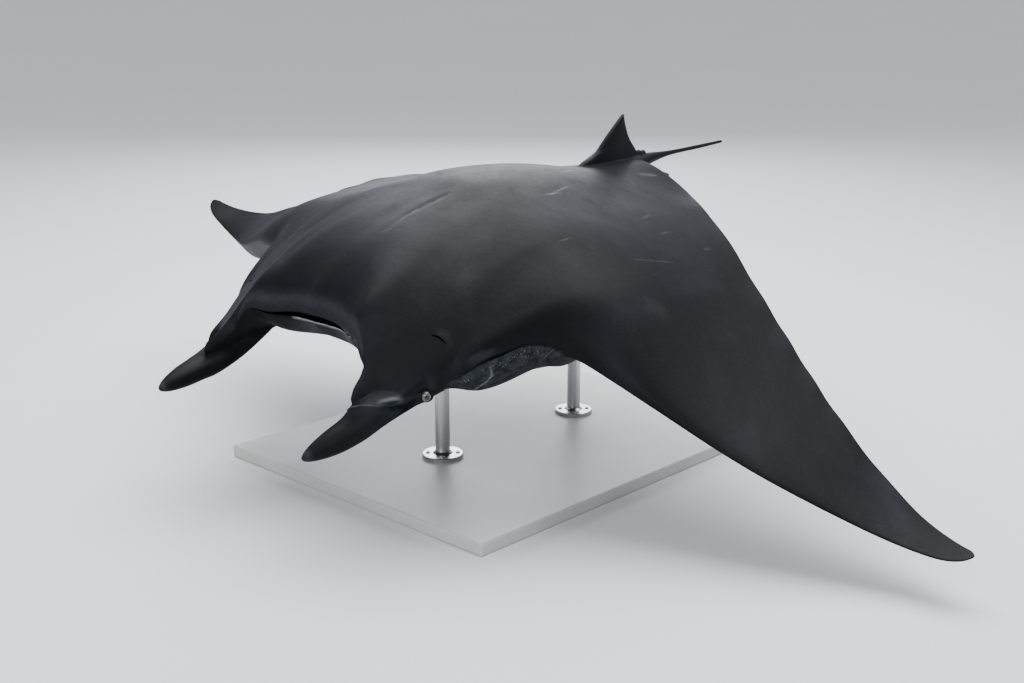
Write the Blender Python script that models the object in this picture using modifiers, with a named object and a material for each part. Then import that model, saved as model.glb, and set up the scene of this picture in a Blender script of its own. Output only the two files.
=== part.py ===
"""Giant oceanic manta ray, black form, swimming: a life-size model on a plain display stand.

Metres, +Z up, nose towards -Y, the animal's left towards +X. The origin is the centre of the underside of
the stand's base. On the animal every length is a fraction of the disc width, in a frame whose origin is
the middle of the mouth: across the span, backwards along the chord, and up. Points are shaped flat in
that frame, then bent by the droop of each wing, and last scaled and tipped nose down.
"""
import math

import bmesh
import bpy
import numpy as np
from mathutils import Vector
from mathutils.bvhtree import BVHTree

# driving sizes, in metres
DISC_WIDTH = 4.6
GAP = 0.0003
NOSE_DOWN = math.radians(13.0)
BALANCE = 0.245            # how far back the animal balances, in disc widths
TIP_CLEARANCE = 0.16       # lowest wing tip above the floor
BASE_LENGTH = 1.90
BASE_WIDTH = 1.50
BASE_THICK = 0.05
BASE_EDGE = 0.006
ROD_RADIUS = 0.030
ROD_AT = (0.150, 0.335)    # where the rods meet the belly, back from the mouth, in disc widths
FLANGE_RADIUS = 0.085
FLANGE_THICK = 0.016

# outline of the disc: stations across the half span, and where its front and rear edges are there
FRONT_SPAN = (0.0, 0.04, 0.06, 0.072, 0.08, 0.087, 0.094, 0.102, 0.11, 0.118, 0.127, 0.141, 0.159,
              0.2, 0.27, 0.35, 0.42, 0.47, 0.492, 0.5)
FRONT_EDGE = (0.0108, 0.0101, 0.001, -0.0033, -0.008, -0.0144, -0.0359, -0.0192, -0.013, -0.0168, 0.0118,
              0.0357, 0.079, 0.1204, 0.1478, 0.1846, 0.2216, 0.2367, 0.2414, 0.2458)
REAR_SPAN = (0.0, 0.03, 0.08, 0.14, 0.20, 0.27, 0.35, 0.42, 0.47, 0.5)
REAR_EDGE = (0.447, 0.444, 0.4119, 0.367, 0.3307, 0.3051, 0.2861, 0.2756, 0.2642, 0.2534)
# height of the front edge: the arched upper lip, then down round the corners of the head
LIP_SPAN = (0.0, 0.030, 0.055, 0.070, 0.084, 0.100, 0.118, 0.135, 0.160, 0.20, 0.30, 0.5)
LIP_HEIGHT = (0.0299, 0.0265, 0.0259, 0.0257, 0.0068, -0.0135, -0.0155, -0.0051, 0.003, 0.0022, 0.0, 0.0)
LIP_LENGTH = 0.16
# steep face under the front edge: lower jaw, then the hanging gill covers at the root of the wing
FACE_SPAN = (0.0, 0.06, 0.078, 0.10, 0.13, 0.142, 0.158, 0.176, 0.190, 0.205, 0.5)
FACE_DEPTH = (0.0236, 0.0182, 0.0094, 0.0074, 0.0041, 0.0183, 0.015, 0.014, 0.0, 0.0, 0.0)
FACE_STEEPNESS = 0.006
LEFT_GILLS_END = (0.172, 0.181)
LOBE_REACH = 0.018              # how widely the lobes of the front edge are evened out
LOBE_LENGTH = (0.0, 0.065)      # and over what distance behind the edge
TIP_ROUND = 0.006
EDGE_HALF = 0.0005

BACK_HEIGHT = 0.0802
BACK_HALF_WIDTH = 0.1849
BELLY_DEPTH = 0.0131
BELLY_HALF_WIDTH = 0.1126
WING_TOP = 0.005
WING_BOTTOM = 0.012
RIDGE_HEIGHT = 0.0205       # the root of the tail, raised behind the dorsal fin
RIDGE_HALF_WIDTH = 0.045

# slope of each wing along its half span, in radians, with its twist and sweep at the tip
DROOP_SPAN = (0.0, 0.10, 0.18, 0.26, 0.34, 0.42, 0.50)
DROOP = {
    "left": (0.0, -0.0578, -0.3781, -0.5002, -0.5024, -0.4225, 0.1942),
    "right": (0.0, 0.1173, 0.1376, -0.2542, -0.3263, -0.1105, 0.8639),
}
TWIST = {"left": 0.0375, "right": 0.2245}
TWIST_AXIS = 0.22
SWEEP = {"left": -0.0731, "right": -0.0124}

HEAD_HALF_WIDTH = 0.140
HEAD_LENGTH = 0.105
WING_JOINTS = (HEAD_HALF_WIDTH, 0.235, 0.350, 0.5)
WING_NAMES = ("inner", "middle", "tip")
JAW_HALF_WIDTH = 0.0635
JAW_LENGTH = 0.070
MOUTH_SLIT = 0.0016

# a cephalic fin's centre line, half width and half height from root to tip
HORN_STEPS = (0.0, 0.25, 0.5, 0.75, 1.0)
HORN_OUT = {
    "left": (0.107, 0.1072, 0.1046, 0.1005, 0.0907),
    "right": (0.1032, 0.1016, 0.1002, 0.0976, 0.0909),
}
HORN_BACK = (0.03, -0.005, -0.03, -0.0467, -0.0851)
HORN_UP = {
    "left": (-0.0128, -0.013, -0.0159, -0.0232, -0.0292),
    "right": (-0.0033, -0.0158, -0.0208, -0.02, -0.0176),
}
HORN_HALF_WIDTH = (0.0219, 0.019, 0.0167, 0.0132, 0.0089)
HORN_HALF_HEIGHT = (0.009, 0.0096, 0.0104, 0.0096, 0.0085)
HORN_TILT = (0.0, 0.0, 0.1407, 0.1316, 0.3504)
HORN_ROUND_FROM = 0.8

EYE_AT = (0.1274, 0.0091, -0.0113)
EYE_RADIUS = 0.0046
ORBIT_AT = (0.1192, 0.0098, -0.0133)
ORBIT_RADII = (0.0099, 0.0208, 0.0046)

# the dorsal fin's front and rear edges at steps of its height
FIN_HEIGHT = (0.018, 0.036, 0.0440, 0.0466, 0.0482, 0.0524, 0.0594, 0.0672, 0.0714, 0.0730)
FIN_FRONT = (0.325, 0.332, 0.346, 0.362, 0.3745, 0.3815, 0.3937, 0.4094, 0.4185, 0.4228)
FIN_REAR = (0.446, 0.4340, 0.4292, 0.4280, 0.4273, 0.4260, 0.4246, 0.4238, 0.4236, 0.4236)
FIN_HALF_THICK = 0.0060
FIN_THIN = 0.75             # share of its thickness the fin loses up to its tip

TAIL_BACK = (0.395, 0.430, 0.455, 0.480, 0.530, 0.583)
TAIL_UP = (0.0140, 0.0195, 0.0178, 0.0142, 0.0054, -0.0036)
TAIL_RADIUS = (0.0080, 0.0085, 0.0058, 0.0031, 0.0020, 0.0014)
TAIL_FLAT = 1.1             # the tail's width over its height
TAIL_CUTS = (0.0, 0.42, 0.70, 1.0)
BOSS_AT = (0.0, 0.441, 0.0262)
BOSS_RADII = (0.0042, 0.0080, 0.0050)

PELVIC_OUT = (0.014, 0.018, 0.022, 0.026)
PELVIC_BACK = (0.405, 0.428, 0.442, 0.4505)
PELVIC_UP = (0.003, 0.004, 0.005, 0.004)
PELVIC_HALF_WIDTH = (0.010, 0.013, 0.012, 0.008)
PELVIC_HALF_HEIGHT = (0.0055, 0.0050, 0.0035, 0.0018)
PELVIC_ROUND_FROM = 0.7

# how finely each loft is cut into rings
HEAD_STATIONS = 24
HEAD_ROWS = 10
TRUNK_ROWS = 12
WING_STATIONS = 6
WING_TIP_STATIONS = 8
WING_ROWS = 13
JAW_STATIONS = 16
JAW_ROWS = 6
JAW_FRONT = -0.04           # where the jaw's cutter starts, ahead of the lip
JAW_UNDER = -0.09           # and how low it reaches
FIN_RINGS = 10
FIN_CORNERS = 14
HORN_RINGS = 12
HORN_CORNERS = 14
TAIL_RINGS = 8
TAIL_CORNERS = 10
PELVIC_RINGS = 7
PELVIC_CORNERS = 12
ROD_CORNERS = 24
EDGE_SAMPLES = 201

MODEL = "manta_ray"
SIDES = {"left": 1, "right": -1}
HIDE_BLACK = (0.012, 0.013, 0.016)
HIDE_ROUGHNESS = 0.45
EYE_BLACK = (0.01, 0.01, 0.012)
EYE_ROUGHNESS = 0.08
PAINT_GREY = (0.62, 0.62, 0.60)
PAINT_ROUGHNESS = 0.5
STEEL_GREY = (0.55, 0.55, 0.56)
STEEL_ROUGHNESS = 0.32


def clear_scene():
    for old in list(bpy.data.objects):
        bpy.data.objects.remove(old, do_unlink=True)


def new_collection(name):
    collection = bpy.data.collections.new(name)
    bpy.context.scene.collection.children.link(collection)
    return collection


def new_material(name, colour, roughness, metallic=0.0):
    material = bpy.data.materials.new(name)
    material.use_nodes = True
    shader = material.node_tree.nodes["Principled BSDF"]
    shader.inputs["Base Color"].default_value = (*colour, 1.0)
    shader.inputs["Roughness"].default_value = roughness
    shader.inputs["Metallic"].default_value = metallic
    return material


# curves and profiles

def spline(xs, ys, x):
    """The natural cubic spline through the points (xs, ys), read at x."""
    xs, ys, x = np.asarray(xs), np.asarray(ys), np.asarray(x, dtype=float)
    steps, count = np.diff(xs), len(xs)
    system, right = np.eye(count), np.zeros(count)
    for i in range(1, count - 1):
        system[i, i - 1:i + 2] = steps[i - 1], 2 * (steps[i - 1] + steps[i]), steps[i]
        right[i] = 6 * ((ys[i + 1] - ys[i]) / steps[i] - (ys[i] - ys[i - 1]) / steps[i - 1])
    bends = np.linalg.solve(system, right)
    i = np.clip(np.searchsorted(xs, x) - 1, 0, count - 2)
    before, after = (xs[i + 1] - x) / steps[i], (x - xs[i]) / steps[i]
    curve = (before ** 3 - before) * bends[i] + (after ** 3 - after) * bends[i + 1]
    return before * ys[i] + after * ys[i + 1] + curve * steps[i] ** 2 / 6


def smooth_step(low, high, x):
    t = np.clip((x - low) / (high - low), 0.0, 1.0)
    return t * t * (3 - 2 * t)


def rise(t, bluntness):
    """From 0 to 1, upright at the start when bluntness is 2 and straight when it is 1."""
    return (1 - (1 - np.clip(t, 0.0, 1.0)) ** bluntness) ** (1 / bluntness)


def fall(chord, crest, power):
    """1 up to the crest, then down to 0 at the rear edge."""
    behind = np.clip((chord - crest) / (1 - crest), 0.0, 1.0)
    return (1 - behind ** 1.7) ** power


def softened(curve, x):
    """The mean of a curve over its neighbourhood, nearer places counting for more."""
    offsets = np.linspace(-1.8, 1.8, 13)
    weights = np.exp(-offsets ** 2)
    weights /= weights.sum()
    return sum(weight * curve(x + offset * LOBE_REACH) for offset, weight in zip(offsets, weights))


def plain_front(span):
    return spline(FRONT_SPAN, FRONT_EDGE, np.abs(span))


def plain_rear(span):
    return spline(REAR_SPAN, REAR_EDGE, np.abs(span))


def tip_shrink(span):
    """What each end of the chord loses where the wing tip is rounded."""
    s = np.clip((np.abs(span) - 0.5) / TIP_ROUND + 1, 0.0, 0.998)
    return (plain_rear(span) - plain_front(span)) / 2 * (1 - np.sqrt(1 - s * s))


def front_edge(span):
    return plain_front(span) + tip_shrink(span)


def rear_edge(span):
    return plain_rear(span) - tip_shrink(span)


def lip_height(span):
    return spline(LIP_SPAN, LIP_HEIGHT, np.abs(span))


# the disc

def disc_point(span, chord, side):
    """The flat disc's skin at a place across the span and a share of the chord; side is 1 above, -1 below."""
    out = np.abs(span)
    back = (rear_edge(span) - front_edge(span)) * chord
    to_wing = smooth_step(0.11, 0.20, out)
    crest = 0.40 - 0.16 * to_wing
    taper = (1 - np.clip(out / 0.5, 0.0, 1.0)) ** 0.7

    # the lobes of the edge die out behind it: further back the height follows an evened edge
    away = smooth_step(*LOBE_LENGTH, back)
    even_front = softened(front_edge, span)
    even_chord = np.clip((front_edge(span) + back - even_front) / (rear_edge(span) - even_front), 0.0, 1.0)
    share = chord * (1 - away) + even_chord * away
    hump = BACK_HEIGHT * np.exp(-(out / BACK_HALF_WIDTH) ** 2.4) + WING_TOP * taper
    above = hump * rise(share / crest, 1.55 + 0.45 * to_wing) * fall(share, crest, 1.25)
    ridge = RIDGE_HEIGHT * np.exp(-(out / RIDGE_HALF_WIDTH) ** 2)
    ridge = ridge * smooth_step(0.33, 0.44, front_edge(span) + back)
    above = above + ridge * rise((1 - chord) / 0.05, 2.0)

    face = np.maximum(spline(FACE_SPAN, FACE_DEPTH, out), 0.0) * (1 - smooth_step(*LEFT_GILLS_END, span))
    face = face * (1 - np.exp(-back / FACE_STEEPNESS)) * fall(chord, crest, 1.0)
    belly = BELLY_DEPTH * np.exp(-(out / BELLY_HALF_WIDTH) ** 4)
    belly = belly * smooth_step(0.0, 0.26, back) * fall(chord, 0.5, 1.0)
    web = WING_BOTTOM * taper * (0.35 + 0.65 * to_wing) * rise(chord / 0.24, 2.0) * fall(chord, 0.24, 1.0)
    below = face + belly + web

    lip = lip_height(span) * (1 - away) + softened(lip_height, span) * away
    lift = lip * (1 - smooth_step(0.0, LIP_LENGTH, back))
    height = np.where(side > 0, above + EDGE_HALF, -below - EDGE_HALF) + lift
    return np.stack([span + 0 * back, front_edge(span) + back, height], axis=-1)


def droop(points):
    """Bend flat points along each wing: the slope is summed out from the middle, with twist and sweep."""
    across, back, up = points[..., 0], points[..., 1], points[..., 2]
    out = np.abs(across)
    bent = np.empty_like(points)
    table = np.linspace(0.0, 0.5, EDGE_SAMPLES)
    step = table[1]
    for side, sign in SIDES.items():
        slope = spline(DROOP_SPAN, DROOP[side], table)
        along_x = np.concatenate([[0.0], np.cumsum((np.cos(slope[1:]) + np.cos(slope[:-1])) / 2 * step)])
        along_z = np.concatenate([[0.0], np.cumsum((np.sin(slope[1:]) + np.sin(slope[:-1])) / 2 * step)])
        angle = np.interp(out, table, slope)
        lifted = up + (back - TWIST_AXIS) * np.sin(TWIST[side] * smooth_step(0.12, 0.5, out))
        here = across >= 0 if sign > 0 else across < 0
        x = np.interp(out, table, along_x) - lifted * np.sin(angle)
        z = np.interp(out, table, along_z) + lifted * np.cos(angle)
        bent[..., 0] = np.where(here, sign * x, bent[..., 0])
        bent[..., 1] = np.where(here, back + SWEEP[side] * smooth_step(0.14, 0.5, out), bent[..., 1])
        bent[..., 2] = np.where(here, z, bent[..., 2])
    return bent


def tip_nose_down(points):
    """Turn about the mouth so that the nose points down by NOSE_DOWN, in metres."""
    x, y, z = np.moveaxis(np.asarray(points, dtype=float), -1, 0)
    cosine, sine = math.cos(NOSE_DOWN), math.sin(NOSE_DOWN)
    return np.stack([x, y * cosine - z * sine, y * sine + z * cosine], axis=-1) * DISC_WIDTH


def mouth_place():
    """Where the middle of the mouth is in the world: balanced over the base, the low wing tip off the floor."""
    spans = np.linspace(-0.5, 0.5, EDGE_SAMPLES)[:, None]
    rim = tip_nose_down(droop(disc_point(spans, np.array([[0.0, 1.0]]), -1)))
    balance = tip_nose_down(np.array([0.0, BALANCE, 0.0]))
    return np.array([0.0, -balance[1], TIP_CLEARANCE - rim[..., 2].min()])


def placed(points):
    return tip_nose_down(droop(np.asarray(points, dtype=float))) + MOUTH


MOUTH = mouth_place()


# meshes

def mesh_object(name, verts, faces, material, collection):
    """An object from points and faces, in triangles so that a grown copy keeps its shape, faces outwards."""
    mesh = bpy.data.meshes.new(name)
    mesh.from_pydata([tuple(v) for v in verts], [], faces)
    work = bmesh.new()
    work.from_mesh(mesh)
    bmesh.ops.remove_doubles(work, verts=work.verts, dist=1e-6)
    bmesh.ops.triangulate(work, faces=work.faces)
    bmesh.ops.recalc_face_normals(work, faces=work.faces)
    if work.calc_volume(signed=True) < 0:
        bmesh.ops.reverse_faces(work, faces=work.faces)
    work.to_mesh(mesh)
    work.free()
    thing = bpy.data.objects.new(name, mesh)
    collection.objects.link(thing)
    if material:
        mesh.materials.append(material)
    return thing


def loft(name, rings, material, collection):
    """A closed body through rings of points of the same count, with flat ends."""
    rings = np.asarray(rings)
    count, size = rings.shape[:2]
    faces = [tuple(range(size)), tuple(range((count - 1) * size, count * size))]
    for i in range(count - 1):
        for j in range(size):
            after = (j + 1) % size
            faces.append((i * size + j, i * size + after, (i + 1) * size + after, (i + 1) * size + j))
    return mesh_object(name, rings.reshape(-1, 3), faces, material, collection)


def helper(thing):
    """Mark an object as a cutter: out of the render and drawn as wire."""
    thing.hide_render = True
    thing.display_type = "WIRE"
    return thing


def grown(thing, name, cutters, by=GAP):
    """A cutter a little larger than an object, each point moved out along its normal."""
    work = bmesh.new()
    work.from_mesh(thing.data)
    work.normal_update()
    moves = [(v, v.normal * by * v.calc_shell_factor()) for v in work.verts]
    for vert, move in moves:
        vert.co += move
    mesh = bpy.data.meshes.new(name)
    work.to_mesh(mesh)
    work.free()
    cutter = bpy.data.objects.new(name, mesh)
    cutter.matrix_world = thing.matrix_world.copy()
    cutters.objects.link(cutter)
    return helper(cutter)


def boolean(thing, operation, other):
    modifier = thing.modifiers.new(operation.title() + " " + other.name, "BOOLEAN")
    modifier.operation = operation
    modifier.solver = "EXACT"
    modifier.object = other


def section_ring(span, first, last, rows):
    """A closed ring round the disc at one place across the span, from one share of the chord to another."""
    chord = first + (last - first) * (1 - np.cos(np.linspace(0, math.pi, rows + 1))) / 2
    top = disc_point(np.full(rows + 1, span), chord, 1)
    under = disc_point(np.full(rows + 1, span), chord[::-1], -1)
    return placed(np.concatenate([top, under]))


def chord_share(span, back):
    return (back - front_edge(span)) / (rear_edge(span) - front_edge(span))


# the animal's parts

def build_head(hide, parts, cutters):
    spans = np.linspace(-HEAD_HALF_WIDTH, HEAD_HALF_WIDTH, HEAD_STATIONS + 1)
    rings = [section_ring(s, 0.0, chord_share(s, HEAD_LENGTH), HEAD_ROWS) for s in spans]
    head = loft("head", rings, hide, parts)
    whole = grown(head, "head_grown", cutters)
    jaw = mesh_object("lower_jaw", *mesh_copy(head), hide, parts)
    boolean(jaw, "INTERSECT", jaw_cutter("jaw_shape", 0.0, cutters))
    return head, jaw, whole


def mesh_copy(thing):
    verts = [v.co[:] for v in thing.data.vertices]
    faces = [tuple(p.vertices) for p in thing.data.polygons]
    return verts, faces


def jaw_cutter(name, margin, cutters):
    """All that lies under the mouth: a slab whose top follows the lip, a slit's height lower."""
    half, length = JAW_HALF_WIDTH + margin, JAW_LENGTH + margin
    spans = np.linspace(-half, half, JAW_STATIONS + 1)
    backs = np.linspace(JAW_FRONT, length, JAW_ROWS)
    rings = []
    for span in spans:
        behind = np.maximum(backs - front_edge(span), 0.0)
        lip = lip_height(span) * (1 - smooth_step(0.0, LIP_LENGTH, behind))
        across = np.full(JAW_ROWS, span)
        top = np.stack([across, backs, lip - MOUTH_SLIT + margin], axis=-1)
        under = np.stack([across, backs[::-1], np.full(JAW_ROWS, JAW_UNDER)], axis=-1)
        rings.append(placed(np.concatenate([top, under])))
    return helper(loft(name, rings, None, cutters))


def build_trunk(hide, parts):
    spans = np.linspace(-HEAD_HALF_WIDTH, HEAD_HALF_WIDTH, HEAD_STATIONS + 1)
    start = HEAD_LENGTH + GAP / DISC_WIDTH
    rings = [section_ring(s, chord_share(s, start), 1.0, TRUNK_ROWS) for s in spans]
    return loft("trunk", rings, hide, parts)


def build_wing(side, hide, parts):
    """A wing in three lengths, parted by thin cuts across it."""
    pieces = []
    for name, start, end in zip(WING_NAMES, WING_JOINTS[:-1], WING_JOINTS[1:]):
        spans = np.linspace(start + GAP / DISC_WIDTH, end, WING_STATIONS + 1)
        if name == "tip":
            turn = np.linspace(0, math.pi / 2, WING_TIP_STATIONS + 1)
            spans = np.minimum(start + GAP / DISC_WIDTH + (end - start) * np.sin(turn), end)
        rings = [section_ring(SIDES[side] * s, 0.0, 1.0, WING_ROWS) for s in spans]
        pieces.append(loft(f"wing_{side}_{name}", rings, hide, parts))
    return pieces


def tube_rings(path, half_widths, half_heights, tilts, corners):
    """Oval rings square to a path, each one's width lying across the span and tipped by its tilt."""
    along = np.gradient(path, axis=0)
    along /= np.linalg.norm(along, axis=1, keepdims=True)
    across = np.array([1.0, 0.0, 0.0]) - along[:, :1] * along
    across /= np.linalg.norm(across, axis=1, keepdims=True)
    upward = np.cross(across, along)
    upward *= np.where(upward[:, 2:] < 0, -1.0, 1.0)
    cosine, sine = np.cos(tilts)[:, None], np.sin(tilts)[:, None]
    wide, high = across * cosine - upward * sine, across * sine + upward * cosine
    turn = np.linspace(0, 2 * math.pi, corners, endpoint=False)[None, :, None]
    wide = wide[:, None] * half_widths[:, None, None]
    high = high[:, None] * half_heights[:, None, None]
    return path[:, None] + wide * np.cos(turn) + high * np.sin(turn)


def rounded(t, start):
    """1 along most of a length, then round to a blunt point at the end."""
    return np.sqrt(1 - np.clip((t - start) / (1 - start), 0.0, 0.995) ** 2)


def build_cephalic_fin(side, hide, parts):
    t = np.sin(np.linspace(0, math.pi / 2, HORN_RINGS + 1))
    outward = spline(HORN_STEPS, HORN_OUT[side], t)
    path = np.stack([outward, spline(HORN_STEPS, HORN_BACK, t), spline(HORN_STEPS, HORN_UP[side], t)], axis=-1)
    half_widths = spline(HORN_STEPS, HORN_HALF_WIDTH, t) * rounded(t, HORN_ROUND_FROM)
    half_heights = spline(HORN_STEPS, HORN_HALF_HEIGHT, t) * rounded(t, HORN_ROUND_FROM)
    rings = tube_rings(path, half_widths, half_heights, spline(HORN_STEPS, HORN_TILT, t), HORN_CORNERS)
    rings[..., 0] *= SIDES[side]
    return loft(f"cephalic_fin_{side}", placed(rings), hide, parts)


def ellipsoid(name, centre, radii, material, collection, segments=14, rings=8):
    """A ball or an oval ball in the animal's own frame, pole towards its side."""
    centre_placed = placed(np.array(centre))
    bpy.ops.mesh.primitive_uv_sphere_add(segments=segments, ring_count=rings, radius=1.0)
    ball = bpy.context.object
    ball.name = name
    ball.data.name = name
    ball.location = Vector(centre_placed)
    ball.scale = Vector(radii) * DISC_WIDTH
    ball.rotation_euler = (NOSE_DOWN, 0.0, 0.0)
    for old in list(ball.users_collection):
        old.objects.unlink(ball)
    collection.objects.link(ball)
    if material:
        ball.data.materials.append(material)
    ball.data.shade_smooth()
    return ball


def build_eye(side, head, fin, eye_black, parts, cutters):
    """An eyeball in its own socket, in a low orbit that is one with the head."""
    sign = SIDES[side]
    orbit_at = (sign * ORBIT_AT[0], ORBIT_AT[1], ORBIT_AT[2])
    eye_at = (sign * EYE_AT[0], EYE_AT[1], EYE_AT[2])
    margin = GAP / DISC_WIDTH
    orbit = helper(ellipsoid(f"orbit_{side}", orbit_at, ORBIT_RADII, None, cutters))
    clear = tuple(r + margin for r in ORBIT_RADII)
    orbit_clear = helper(ellipsoid(f"orbit_clear_{side}", orbit_at, clear, None, cutters))
    socket_radius = (EYE_RADIUS + margin * 1.5,) * 3
    socket = helper(ellipsoid(f"socket_{side}", eye_at, socket_radius, None, cutters))
    boolean(head, "UNION", orbit)
    boolean(head, "DIFFERENCE", socket)
    boolean(fin, "DIFFERENCE", orbit_clear)
    boolean(fin, "DIFFERENCE", socket)
    ellipsoid(f"eye_{side}", eye_at, (EYE_RADIUS,) * 3, eye_black, parts)


def build_dorsal_fin(hide, parts):
    """A low swept triangle at the root of the tail: hollowed in front, upright behind."""
    t = np.linspace(0.0, 1.0, FIN_RINGS + 1)
    height = FIN_HEIGHT[0] + (FIN_HEIGHT[-1] - FIN_HEIGHT[0]) * t
    front, behind = np.interp(height, FIN_HEIGHT, FIN_FRONT), np.interp(height, FIN_HEIGHT, FIN_REAR)
    thick = FIN_HALF_THICK * (1.0 - FIN_THIN * t)
    turn = np.linspace(0, 2 * math.pi, FIN_CORNERS, endpoint=False)
    rings = []
    for a, b, up, half in zip(front, behind, height, thick):
        across = half * np.sin(turn) * (1.15 + 0.35 * np.cos(turn + math.pi))
        back = (a + b) / 2 + (b - a) / 2 * np.cos(turn)
        rings.append(np.stack([across, back, np.full(FIN_CORNERS, up)], axis=-1))
    return loft("dorsal_fin", placed(rings), hide, parts)


def tail_rings(start, end, more=0.0):
    """Round rings along the tail, between two shares of its length."""
    t = np.linspace(start, end, TAIL_RINGS + 1)
    back = TAIL_BACK[0] + (TAIL_BACK[-1] - TAIL_BACK[0]) * t
    path = np.stack([0 * back, back, spline(TAIL_BACK, TAIL_UP, back)], axis=-1)
    radii = spline(TAIL_BACK, TAIL_RADIUS, back) + more
    return placed(tube_rings(path, radii * TAIL_FLAT, radii, 0 * t, TAIL_CORNERS))


def build_tail(trunk, hide, parts, cutters):
    """A short stiff tail in three lengths; the first is rooted in a pocket of the trunk."""
    margin = GAP / DISC_WIDTH
    whole = TAIL_BACK[-1] - TAIL_BACK[0]
    lengths = []
    for number, (start, end) in enumerate(zip(TAIL_CUTS[:-1], TAIL_CUTS[1:]), start=1):
        begin = start + (margin / whole if number > 1 else 0.0)
        lengths.append(loft(f"tail_{number}", tail_rings(begin, end), hide, parts))
    pocket_rings = tail_rings(-margin / whole, TAIL_CUTS[1], margin * 1.5)
    pocket = helper(loft("tail_pocket", pocket_rings, None, cutters))
    boolean(trunk, "DIFFERENCE", pocket)
    return lengths, pocket


def build_pelvic_fin(side, hide, parts):
    t = np.linspace(0.0, 1.0, PELVIC_RINGS + 1)
    steps = np.linspace(0.0, 1.0, len(PELVIC_OUT))
    names = (PELVIC_OUT, PELVIC_BACK, PELVIC_UP)
    path = np.stack([spline(steps, values, t) for values in names], axis=-1)
    half_widths = spline(steps, PELVIC_HALF_WIDTH, t) * rounded(t, PELVIC_ROUND_FROM)
    half_heights = spline(steps, PELVIC_HALF_HEIGHT, t)
    rings = tube_rings(path, half_widths, half_heights, 0 * t, PELVIC_CORNERS)
    rings[..., 0] *= SIDES[side]
    return loft(f"pelvic_fin_{side}", placed(rings), hide, parts)


def build_animal(parts, cutters):
    hide = new_material("hide", HIDE_BLACK, HIDE_ROUGHNESS)
    eye_black = new_material("eye", EYE_BLACK, EYE_ROUGHNESS)
    head, jaw, head_clear = build_head(hide, parts, cutters)
    trunk = build_trunk(hide, parts)
    trunk_clear = grown(trunk, "trunk_grown", cutters)
    for side in SIDES:
        build_wing(side, hide, parts)
        fin = build_cephalic_fin(side, hide, parts)
        boolean(fin, "DIFFERENCE", head_clear)
        build_eye(side, head, fin, eye_black, parts, cutters)
    boolean(head, "DIFFERENCE", jaw_cutter("jaw_clear", GAP / DISC_WIDTH, cutters))

    lengths, pocket = build_tail(trunk, hide, parts, cutters)
    dorsal_fin = build_dorsal_fin(hide, parts)
    boolean(dorsal_fin, "DIFFERENCE", trunk_clear)
    boolean(dorsal_fin, "DIFFERENCE", pocket)
    fin_clear = grown(dorsal_fin, "dorsal_fin_grown", cutters)
    boss = ellipsoid("tail_spine_boss", BOSS_AT, BOSS_RADII, hide, parts, segments=12, rings=8)
    for neighbour in (trunk_clear, pocket, fin_clear):
        boolean(boss, "DIFFERENCE", neighbour)
    for side in SIDES:
        pelvic_fin = build_pelvic_fin(side, hide, parts)
        boolean(pelvic_fin, "DIFFERENCE", trunk_clear)
        boolean(pelvic_fin, "DIFFERENCE", pocket)
    return trunk


# the stand

def surface_tree(thing):
    work = bmesh.new()
    work.from_mesh(thing.data)
    tree = BVHTree.FromBMesh(work)
    work.free()
    return tree


def build_rod(name, back, trunk, steel, parts):
    """A round rod from the base plate, its top end cut to the slope of the belly."""
    foot = placed(np.array([0.0, back, 0.0]))
    floor = BASE_THICK + FLANGE_THICK + 2 * GAP
    tree = surface_tree(trunk)
    turn = np.linspace(0, 2 * math.pi, ROD_CORNERS, endpoint=False)
    bottom, top = [], []
    for angle in turn:
        x, y = ROD_RADIUS * math.cos(angle), foot[1] + ROD_RADIUS * math.sin(angle)
        hit = tree.ray_cast(Vector((x, y, 0.0)), Vector((0.0, 0.0, 1.0)))[0]
        bottom.append((x, y, floor))
        top.append((x, y, hit.z - 2 * GAP))
    rod = loft(name, [bottom, top], steel, parts)
    rod.data.shade_smooth()
    rod.data.set_sharp_from_angle(angle=math.radians(35))
    flange_z = BASE_THICK + GAP + FLANGE_THICK / 2
    bpy.ops.mesh.primitive_cylinder_add(vertices=ROD_CORNERS, radius=FLANGE_RADIUS, depth=FLANGE_THICK,
                                        location=(0.0, foot[1], flange_z))
    flange = bpy.context.object
    flange.name = name.replace("rod", "flange")
    for old in list(flange.users_collection):
        old.objects.unlink(flange)
    parts.objects.link(flange)
    flange.data.materials.append(steel)


def build_stand(trunk, parts):
    paint = new_material("stand paint", PAINT_GREY, PAINT_ROUGHNESS)
    steel = new_material("stand steel", STEEL_GREY, STEEL_ROUGHNESS, 1.0)
    bpy.ops.mesh.primitive_cube_add(size=1.0, location=(0.0, 0.0, BASE_THICK / 2))
    base = bpy.context.object
    base.name = "stand_base"
    for vert in base.data.vertices:
        vert.co = Vector((vert.co.x * BASE_WIDTH, vert.co.y * BASE_LENGTH, vert.co.z * BASE_THICK))
    for old in list(base.users_collection):
        old.objects.unlink(base)
    parts.objects.link(base)
    base.data.materials.append(paint)
    edge = base.modifiers.new("Edge", "BEVEL")
    edge.width = BASE_EDGE
    edge.segments = 2
    for name, back in zip(("stand_rod_front", "stand_rod_rear"), ROD_AT):
        build_rod(name, back, trunk, steel, parts)


def main():
    clear_scene()
    parts = new_collection(MODEL)
    cutters = new_collection("cutters")
    trunk = build_animal(parts, cutters)
    build_stand(trunk, parts)


main()
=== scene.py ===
import math

import bpy
import numpy as np
from mathutils import Matrix, Vector
from mathutils.bvhtree import BVHTree


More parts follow.
